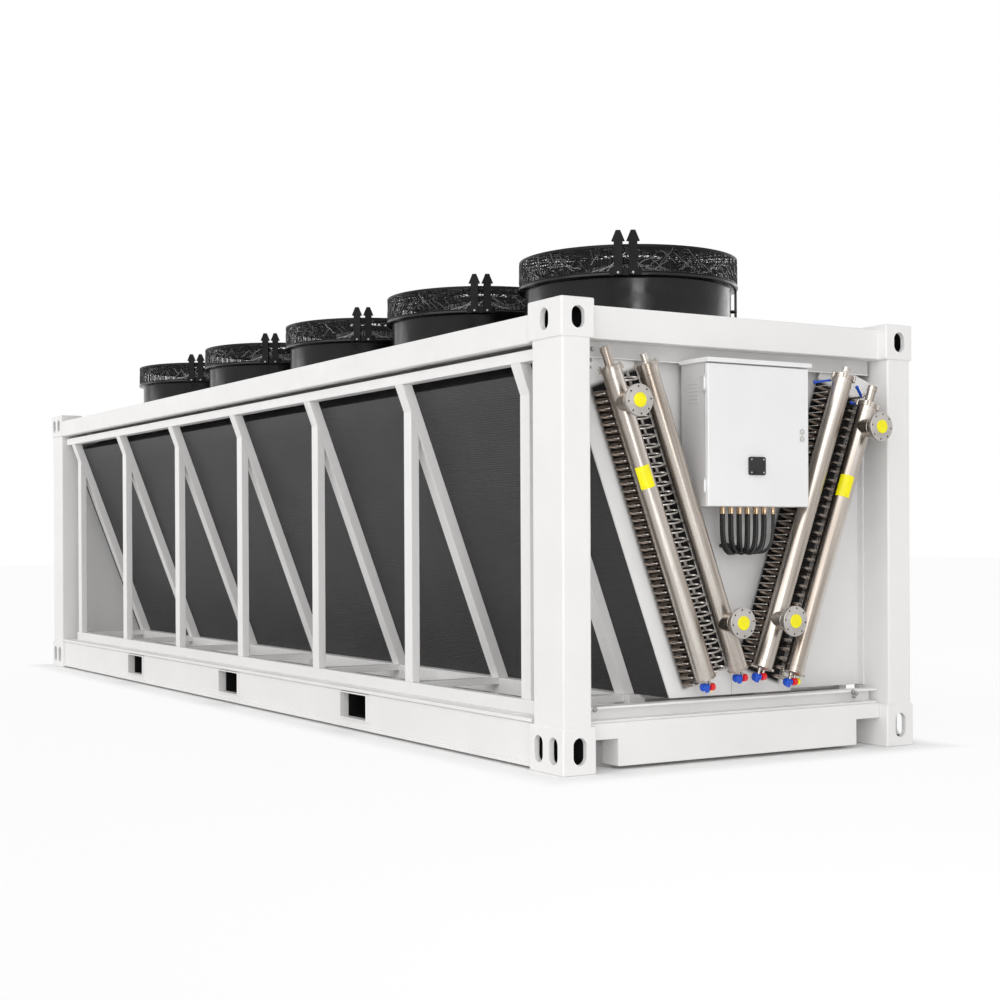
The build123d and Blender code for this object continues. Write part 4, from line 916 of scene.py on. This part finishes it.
def header_pipe(side, offset, foot, top, vent, pitch):
    """A pipe with end rings, weld seams, a stepped vent stub, and feeders to the tube sheet."""
    shape = Shape()
    axis = slope_axis(side)
    origin = at_slope(side, foot, offset, HEADER_X)
    length = top - foot
    seam = HEADER_RADIUS + 0.0012
    profile = [
        (0.0, 0.030), (0.004, COLLAR_RADIUS - 0.003), (0.006, COLLAR_RADIUS), (0.012, COLLAR_RADIUS),
        (0.014, HEADER_RADIUS), (0.044, HEADER_RADIUS), (0.045, seam), (0.049, seam), (0.050, HEADER_RADIUS),
        (length - 0.064, HEADER_RADIUS), (length - 0.063, seam), (length - 0.059, seam),
        (length - 0.058, HEADER_RADIUS), (length - 0.026, HEADER_RADIUS), (length - 0.025, COLLAR_RADIUS),
        (length - 0.014, COLLAR_RADIUS), (length - 0.0135, HEADER_RADIUS + 0.001),
        (length - 0.0125, HEADER_RADIUS + 0.001), (length - 0.012, COLLAR_RADIUS),
        (length - 0.002, COLLAR_RADIUS), (length, COLLAR_RADIUS - 0.003)]
    shape.turned(origin, axis, profile, 48)
    radius, reach = vent
    stub = [
        (-0.001, radius + 0.006), (0.005, radius + 0.005), (0.007, radius * 0.92),
        (reach * 0.72, radius * 0.92), (reach * 0.73, radius), (reach * 0.86, radius),
        (reach * 0.87, radius * 0.88), (reach * 0.94, radius * 0.88), (reach * 0.95, radius),
        (reach - 0.002, radius), (reach, radius * 0.9)]
    shape.turned(origin + axis * length, axis, stub, 32)
    places = bend_places(pitch)
    for index in range(1, len(places) - 1, 2):
        along = (places[index] + places[index + 1]) / 2
        shape.tube(forward_run(side, along, offset, SHEET_FACE_X, HEADER_X), 0.006, 8)
    return shape


def header_clamps(side, offset, foot, top):
    """Ears with bolts on the rings at both ends of a header."""
    shape = Shape()
    axis = slope_axis(side)
    origin = at_slope(side, foot, offset, HEADER_X)
    length = top - foot
    for turn in range(4):
        angle = pi / 5 + turn * pi / 2
        out = FORWARD * cos(angle) + inward_axis(side) * sin(angle)
        place = origin + axis * (length - 0.026) + out * (COLLAR_RADIUS - 0.001)
        shape.turned(place, axis, [(0.0, 0.012), (0.026, 0.012)], 6)
        shape.turned(place + axis * 0.0255, axis, [(0.0, 0.0065), (0.010, 0.0065), (0.012, 0.004)], 10)
        if turn % 2:
            shape.turned(origin + out * (COLLAR_RADIUS - 0.002), axis, [(0.002, 0.010), (0.014, 0.010)], 12)
    return shape


def port_stub(side, offset, at):
    """A branch that leaves a header towards the front, with a weld seam and a tack block."""
    shape = Shape()
    run = PORT_FACE_X - HEADER_X
    place = at_slope(side, at, offset, HEADER_X)
    face = run - FLANGE_THICKNESS
    profile = [
        (0.0, PORT_RADIUS), (face * 0.60, PORT_RADIUS), (face * 0.61, PORT_RADIUS + 0.0016),
        (face * 0.66, PORT_RADIUS + 0.0016), (face * 0.67, PORT_RADIUS), (face - 0.004, PORT_RADIUS),
        (face + 0.002, PORT_RADIUS + 0.004)]
    shape.turned(place, FORWARD, profile, 48)
    tack = place + Vector((face * 0.635, 0, 0)) - inward_axis(side) * side * PORT_RADIUS * 0.7
    shape.block(tack - Vector((0.006, 0.004, 0.010)), tack + Vector((0.006, 0.004, 0.010)))
    return shape


def flange(side, offset, at):
    """A round plate with softened edges on the end of a port."""
    place = at_slope(side, at, offset, PORT_FACE_X - FLANGE_THICKNESS)
    profile = [
        (0.0, FLANGE_RADIUS - FLANGE_EDGE), (FLANGE_EDGE, FLANGE_RADIUS),
        (FLANGE_THICKNESS - FLANGE_EDGE, FLANGE_RADIUS), (FLANGE_THICKNESS, FLANGE_RADIUS - FLANGE_EDGE),
        (FLANGE_THICKNESS, 0.056), (FLANGE_THICKNESS + 0.0006, 0.055)]
    return Shape().turned(place, FORWARD, profile, 64)


def flange_holes(side, offset, at):
    """Dark discs of painted shade that show as the bolt holes of a flange."""
    shape = Shape()
    centre = at_slope(side, at, offset, PORT_FACE_X)
    for step in range(FLANGE_HOLES):
        angle = 2 * pi * (step + 0.3) / FLANGE_HOLES
        out = slope_axis(side) * cos(angle) + inward_axis(side) * sin(angle)
        place = centre + out * FLANGE_HOLE_RING - Vector((0.004, 0, 0))
        shape.turned(place, FORWARD, [(0.0, 0.005), (0.0042, 0.005)], 16)
    return shape


def port_cap(side, offset, at):
    """A plain plug in the mouth of a port."""
    place = at_slope(side, at, offset, PORT_FACE_X)
    profile = [
        (0.0, PORT_CAP_RADIUS), (0.0055, PORT_CAP_RADIUS), (0.0075, PORT_CAP_RADIUS - 0.002), (0.008, 0.010)]
    return Shape().turned(place, FORWARD, profile, 40)


def headers():
    for label, side, offset, foot, top, port, vent, pitch in HEADERS:
        shape = header_pipe(side, offset, foot, top, vent, pitch)
        pipe = piece(f"header_{label}", shape, f"stainless_{SIDES[side]}", slot="stainless")
        clamps = header_clamps(side, offset, foot, top)
        piece(f"header_clamps_{label}", clamps, "stainless")
        piece(f"port_stub_{label}", port_stub(side, offset, port), "stainless")
        piece(f"flange_{label}", flange(side, offset, port), "flange_steel", slot="stainless")
        piece(f"flange_holes_{label}", flange_holes(side, offset, port), "slot_dark", slot="stainless")
        shape = port_cap(side, offset, port)
        cap = piece(f"port_cap_{label}", shape, "yellow_plastic")
        if label == "outer_left":
            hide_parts("port_caps")
        if side < 0:
            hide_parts("outer_headers" if offset == OUTER_OFFSET else "inner_headers")


headers()


def yellow_bands():
    """A plain yellow band round the front of each outer header."""
    radius = HEADER_RADIUS + 0.0008
    row = BAND_STEPS + 1
    for side, start, end, facing in YELLOW_BANDS:
        points = []
        for along in (start, end):
            for step in range(row):
                angle = radians(facing - BAND_HALF + 2 * BAND_HALF * step / BAND_STEPS)
                out = FORWARD * cos(angle) + inward_axis(side) * sin(angle)
                points.append(at_slope(side, along, OUTER_OFFSET, HEADER_X) + out * radius)
        faces = [(step, step + 1, step + row + 1, step + row) for step in range(BAND_STEPS)]
        band = Shape().add(points, faces)
        piece(f"yellow_band_{SIDES[side]}", band, "yellow_plastic")


yellow_bands()


def drains():
    """Two nipples, a blue valve body and a red knob under each header, and a tip or an end on two of them."""
    blue = Shape()
    red = Shape()
    steel = Shape()
    tips = Shape()
    ends = Shape()
    nipple = [(-0.006, 0.012), (0.006, 0.012), (0.007, 0.009), (0.034, 0.009)]
    body = [
        (0.0, 0.012), (0.004, 0.020), (0.010, 0.023), (0.024, 0.023), (0.029, 0.018), (0.046, 0.018),
        (0.050, 0.014)]
    spout = [(0.0, 0.014), (0.025, 0.014), (0.030, 0.010)]
    knob = [(0.0, 0.014), (0.004, 0.021), (0.020, 0.022), (0.028, 0.020), (0.033, 0.014)]
    for label, side, offset, foot in (header[:4] for header in HEADERS):
        down = -slope_axis(side)
        start = at_slope(side, foot, offset, HEADER_X)
        for shift in (-0.016, 0.016):
            steel.turned(start + SIDEWAYS * shift, down, nipple, 16)
        heart = start + down * 0.044
        blue.turned(heart - SIDEWAYS * 0.046, SIDEWAYS, body, 24)
        blue.turned(heart - SIDEWAYS * 0.014, down, spout, 16)
        red.turned(heart + SIDEWAYS * 0.008, SIDEWAYS, knob, 24)
        if label == "outer_left":
            tip = [(0.0, 0.009), (0.012, 0.009), (0.018, 0.005)]
            tips.turned(heart + SIDEWAYS * 0.012 + down * 0.018, down, tip, 14)
        if label == "outer_right":
            end = [(0.0, 0.016), (0.003, 0.019), (0.015, 0.019), (0.019, 0.014)]
            ends.turned(heart + SIDEWAYS * 0.040, SIDEWAYS, end, 20)
    piece("drain_bodies", blue, "valve_blue", stands_for=("drain_valves",))
    piece("drain_knobs", red, "valve_red", slot="valve_blue")
    piece("drain_nipples", steel, "stainless")
    piece("drain_tips", tips, "tip_pale", slot="yellow_plastic")
    piece("drain_ends", ends, "yellow_plastic")


drains()


def vent_levers():
    """Blue levers of the small vent cocks beside the tops of the right-hand headers."""
    levers = Shape()
    steel = Shape()
    for start, end in VENT_LEVERS:
        levers.tube([start, end], 0.0085, 4)
        levers.ball(start, 0.011, 10)
        steel.tube([end, Vector(end) + Vector((0.010, 0.020, 0.016))], 0.009, 10)
        steel.tube([(SHEET_FACE_X, end[1], end[2]), (end[0] + 0.004, end[1], end[2])], 0.007, 10)
    piece("vent_levers", levers, "valve_blue", bevel=0.001)
    piece("vent_cocks", steel, "stainless")


vent_levers()


def bolts_and_lip():
    """Bolts at the ends of the base channel and by the near post, and the folded lip of the top strip."""
    bolts = Shape()
    for y, z in CHANNEL_BOLTS:
        bolts.bolt((END_CHANNEL_FACE_X - 0.002, y, z), FORWARD, 0.013)
    for y, z, size in POST_BOLTS:
        face = STRIP_FACE_X if z > STRIP_BOTTOM else SHEET_FACE_X - 0.0005
        bolts.bolt((face, y, z), FORWARD, size)
    piece("frame_bolts", bolts, "bolt_zinc", slot="lock_metal")
    lip = Shape().block((STRIP_FACE_X, -1.010, STRIP_BOTTOM), (4.421, 1.010, 2.157))
    piece("top_strip_lip", lip, "white_frame", slot="grey_panel", bevel=0.002)


bolts_and_lip()


def cable_path(x, y):
    """A smooth curve from a gland: straight down, in to the bundle and back into the panel."""
    top = CABINET_BOTTOM - GLAND_LENGTH + 0.006
    low = top - CABLE_DROP - chance.uniform(0.0, 0.018)
    ends = [
        (x, y, top), (x, y, top - CABLE_DROP * 0.9), (x, y * 1.05, low - 0.020),
        (x - 0.010, y * 0.30, low - 0.020), (x - 0.030, y * 0.12, low + 0.006),
        (PANEL_FACE_X, y * 0.20, low + 0.040)]
    path = []
    degree = len(ends) - 1
    for step in range(CABLE_STEPS + 1):
        part = step / CABLE_STEPS
        point = Vector((0, 0, 0))
        for index, (end, weight) in enumerate(zip(ends, CABLE_WEIGHTS)):
            point += Vector(end) * (weight * part ** index * (1 - part) ** (degree - index))
        path.append(point)
    return path


def glands_and_cables():
    """Two rows of brass glands and the cables that drop from them and gather under the cabinet."""
    brass = Shape()
    cables = Shape()
    for x, count in GLAND_ROWS:
        for index in range(count):
            y = (index - (count - 1) / 2) * GLAND_PITCH
            place = (x, y, CABINET_BOTTOM)
            brass.turned(place, -UP, [(0.0, 0.0118), (0.007, 0.0118)], 6, 0.2)
            brass.turned(place, -UP, [
                (0.006, 0.0080), (0.016, 0.0080), (0.0165, 0.0102), (0.026, 0.0102), (0.027, 0.0090),
                (0.038, 0.0090), (GLAND_LENGTH, 0.0080)], 18)
            cables.tube(cable_path(x, y), CABLE_RADIUS, 10)
    piece("glands", brass, "brass", stands_for=("cable_glands",))
    piece("cables", cables, "cable_black", stands_for=("control_cables",))


glands_and_cables()


def cabinet_fittings():
    """Louvres in the side of the cabinet, and the screws and catch of the black plate on its door."""
    louvres = Shape()
    middle = (CABINET_BACK_X + CABINET_FRONT_X) / 2
    for row in range(LOUVRE_ROWS):
        z = CABINET_TOP - 0.110 - row * LOUVRE_PITCH
        for column in (-1, 0, 1):
            x = middle + column * LOUVRE_SPACING
            low = (x - LOUVRE_HALF, -CABINET_HALF - 0.003, z - 0.003)
            louvres.block(low, (x + LOUVRE_HALF, -CABINET_HALF + 0.001, z + 0.011))
    # The louvres take the painted-shade grey of the cabinet body.
    piece("cabinet_louvres", louvres, "cabinet_grey", slot="cabinet_white", bevel=0.0022)
    screws = Shape()
    plate_low, plate_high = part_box("door_plate")
    face = plate_high[0]
    for y in (plate_low[1] + SCREW_INSET, plate_high[1] - SCREW_INSET):
        for z in (plate_low[2] + SCREW_INSET, plate_high[2] - SCREW_INSET):
            screws.turned((face - 0.0005, y, z), FORWARD, [(0.0, 0.0050), (0.0012, 0.0045)], 14)
    piece("plate_screws", screws, "lock_metal", DOOR)
    y = (plate_low[1] + plate_high[1]) / 2
    low = (face - 0.0005, y - 0.018, plate_low[2] + 0.004)
    catch = Shape().block(low, (face + 0.004, y + 0.018, plate_low[2] + 0.022))
    piece("plate_catch", catch, "plate_black", DOOR, bevel=0.001)


cabinet_fittings()


def pale_floor():
    """A pale floor that keeps its shading by the frame and turns plain white further out."""
    mesh = bpy.data.meshes.new("floor")
    half = FLOOR_HALF
    corners = [(-half, -half, 0), (half, -half, 0), (half, half, 0), (-half, half, 0)]
    mesh.from_pydata(corners, [], [(0, 1, 2, 3)])
    floor = new_object("floor", mesh)
    look = Look("floor", (0.96, 0.96, 0.96), 0.9, shine=0.0)
    look.tint(look.noise(0.6, 3.0), (0.955, 0.955, 0.955), (0.965, 0.965, 0.965))
    glow = look.node("Emission", {"Color": (1, 1, 1, 1), "Strength": 1.0})
    path = look.node("LightPath", {})
    blend = look.node("MixShader", {})
    beyond_ends = look.combine(look.combine(look.measure(FORWARD), "ABSOLUTE"), "SUBTRACT", HALF_LENGTH)
    beyond_sides = look.combine(look.combine(look.measure(SIDEWAYS), "ABSOLUTE"), "SUBTRACT", HALF_WIDTH)
    outside = look.combine(beyond_ends, "MAXIMUM", beyond_sides)
    share = look.ranged(outside, 0.0, FLOOR_GLOW, GLOW_START, GLOW_END)
    look.link(look.combine(path.outputs["Is Camera Ray"], "MULTIPLY", share), blend.inputs["Fac"])
    look.link(look.shader.outputs["BSDF"], blend.inputs[1])
    look.link(glow.outputs["Emission"], blend.inputs[2])
    look.link(blend.outputs["Shader"], look.tree.nodes["Material Output"].inputs["Surface"])
    mesh.materials.append(look.material)


def surround():
    """White where it is seen, mirrored or looked through to, and softer as a light."""
    world = bpy.data.worlds.new("surround")
    bpy.context.scene.world = world
    world.use_nodes = True
    tree = world.node_tree
    tree.nodes.clear()
    path = tree.nodes.new("ShaderNodeLightPath").outputs
    seen = path["Is Camera Ray"]
    for kind in ("Is Glossy Ray", "Is Transmission Ray"):
        either = tree.nodes.new("ShaderNodeMath")
        either.operation = "MAXIMUM"
        tree.links.new(seen, either.inputs[0])
        tree.links.new(path[kind], either.inputs[1])
        seen = either.outputs["Value"]
    mix = tree.nodes.new("ShaderNodeMixShader")
    tree.links.new(seen, mix.inputs["Fac"])
    for place, strength in ((1, WORLD_LIGHT), (2, 1.0)):
        white = tree.nodes.new("ShaderNodeBackground")
        set_inputs(white, {"Color": (1, 1, 1, 1), "Strength": strength})
        tree.links.new(white.outputs["Background"], mix.inputs[place])
    out = tree.nodes.new("ShaderNodeOutputWorld")
    tree.links.new(mix.outputs["Shader"], out.inputs["Surface"])


def lamp(name, kind, place, aim):
    light = bpy.data.lights.new(name, kind)
    thing = new_object(name, light)
    thing.location = place
    thing.rotation_euler = (Vector(aim) - Vector(place)).to_track_quat("-Z", "Y").to_euler()
    return light


def lights():
    """A broad light on the long side, two softboxes in front, one past the far end, one on the far side."""
    broad = lamp("broad", "SUN", (3.9, -8.4, 3.4), (0.0, 0.0, 0.0))
    broad.energy = 1.24
    broad.angle = radians(70)
    for name, place, aim, width, height, power in (
            ("softbox", (10.5, -5.0, 6.4), (3.0, 0.0, 1.4), 9.0, 4.0, 30.0),
            ("front", (9.5, -2.8, 1.4), (4.5, 0.0, 1.2), 1.3, 3.0, 64.0),
            ("rim_left", (-8.0, -6.0, 3.2), (2.0, 0.0, 2.4), 4.0, 3.0, 45.0),
            ("rim_right", (2.0, 9.0, 3.4), (2.0, 0.0, 2.4), 6.0, 2.0, 60.0)):
        box = lamp(name, "AREA", place, aim)
        box.shape = "RECTANGLE"
        box.size = width
        box.size_y = height
        box.energy = power


def camera():
    ahead = Vector((cos(VIEW_LIFT) * cos(VIEW_TURN), cos(VIEW_LIFT) * sin(VIEW_TURN), sin(VIEW_LIFT)))
    right = Vector((sin(VIEW_TURN), -cos(VIEW_TURN), 0))
    up = right.cross(ahead)
    across = right * cos(VIEW_ROLL) + up * sin(VIEW_ROLL)
    upward = up * cos(VIEW_ROLL) - right * sin(VIEW_ROLL)
    lens = bpy.data.cameras.new("camera")
    lens.sensor_width = 36.0
    lens.lens = 58.80
    lens.shift_y = 0.0487
    lens.clip_end = 200.0
    eye = new_object("camera", lens)
    turned = Matrix((across, upward, -ahead)).transposed()
    eye.matrix_world = Matrix.Translation(EYE) @ turned.to_4x4()
    bpy.context.scene.camera = eye


pale_floor()
surround()
lights()
camera()
bpy.context.scene.view_settings.view_transform = "Standard"
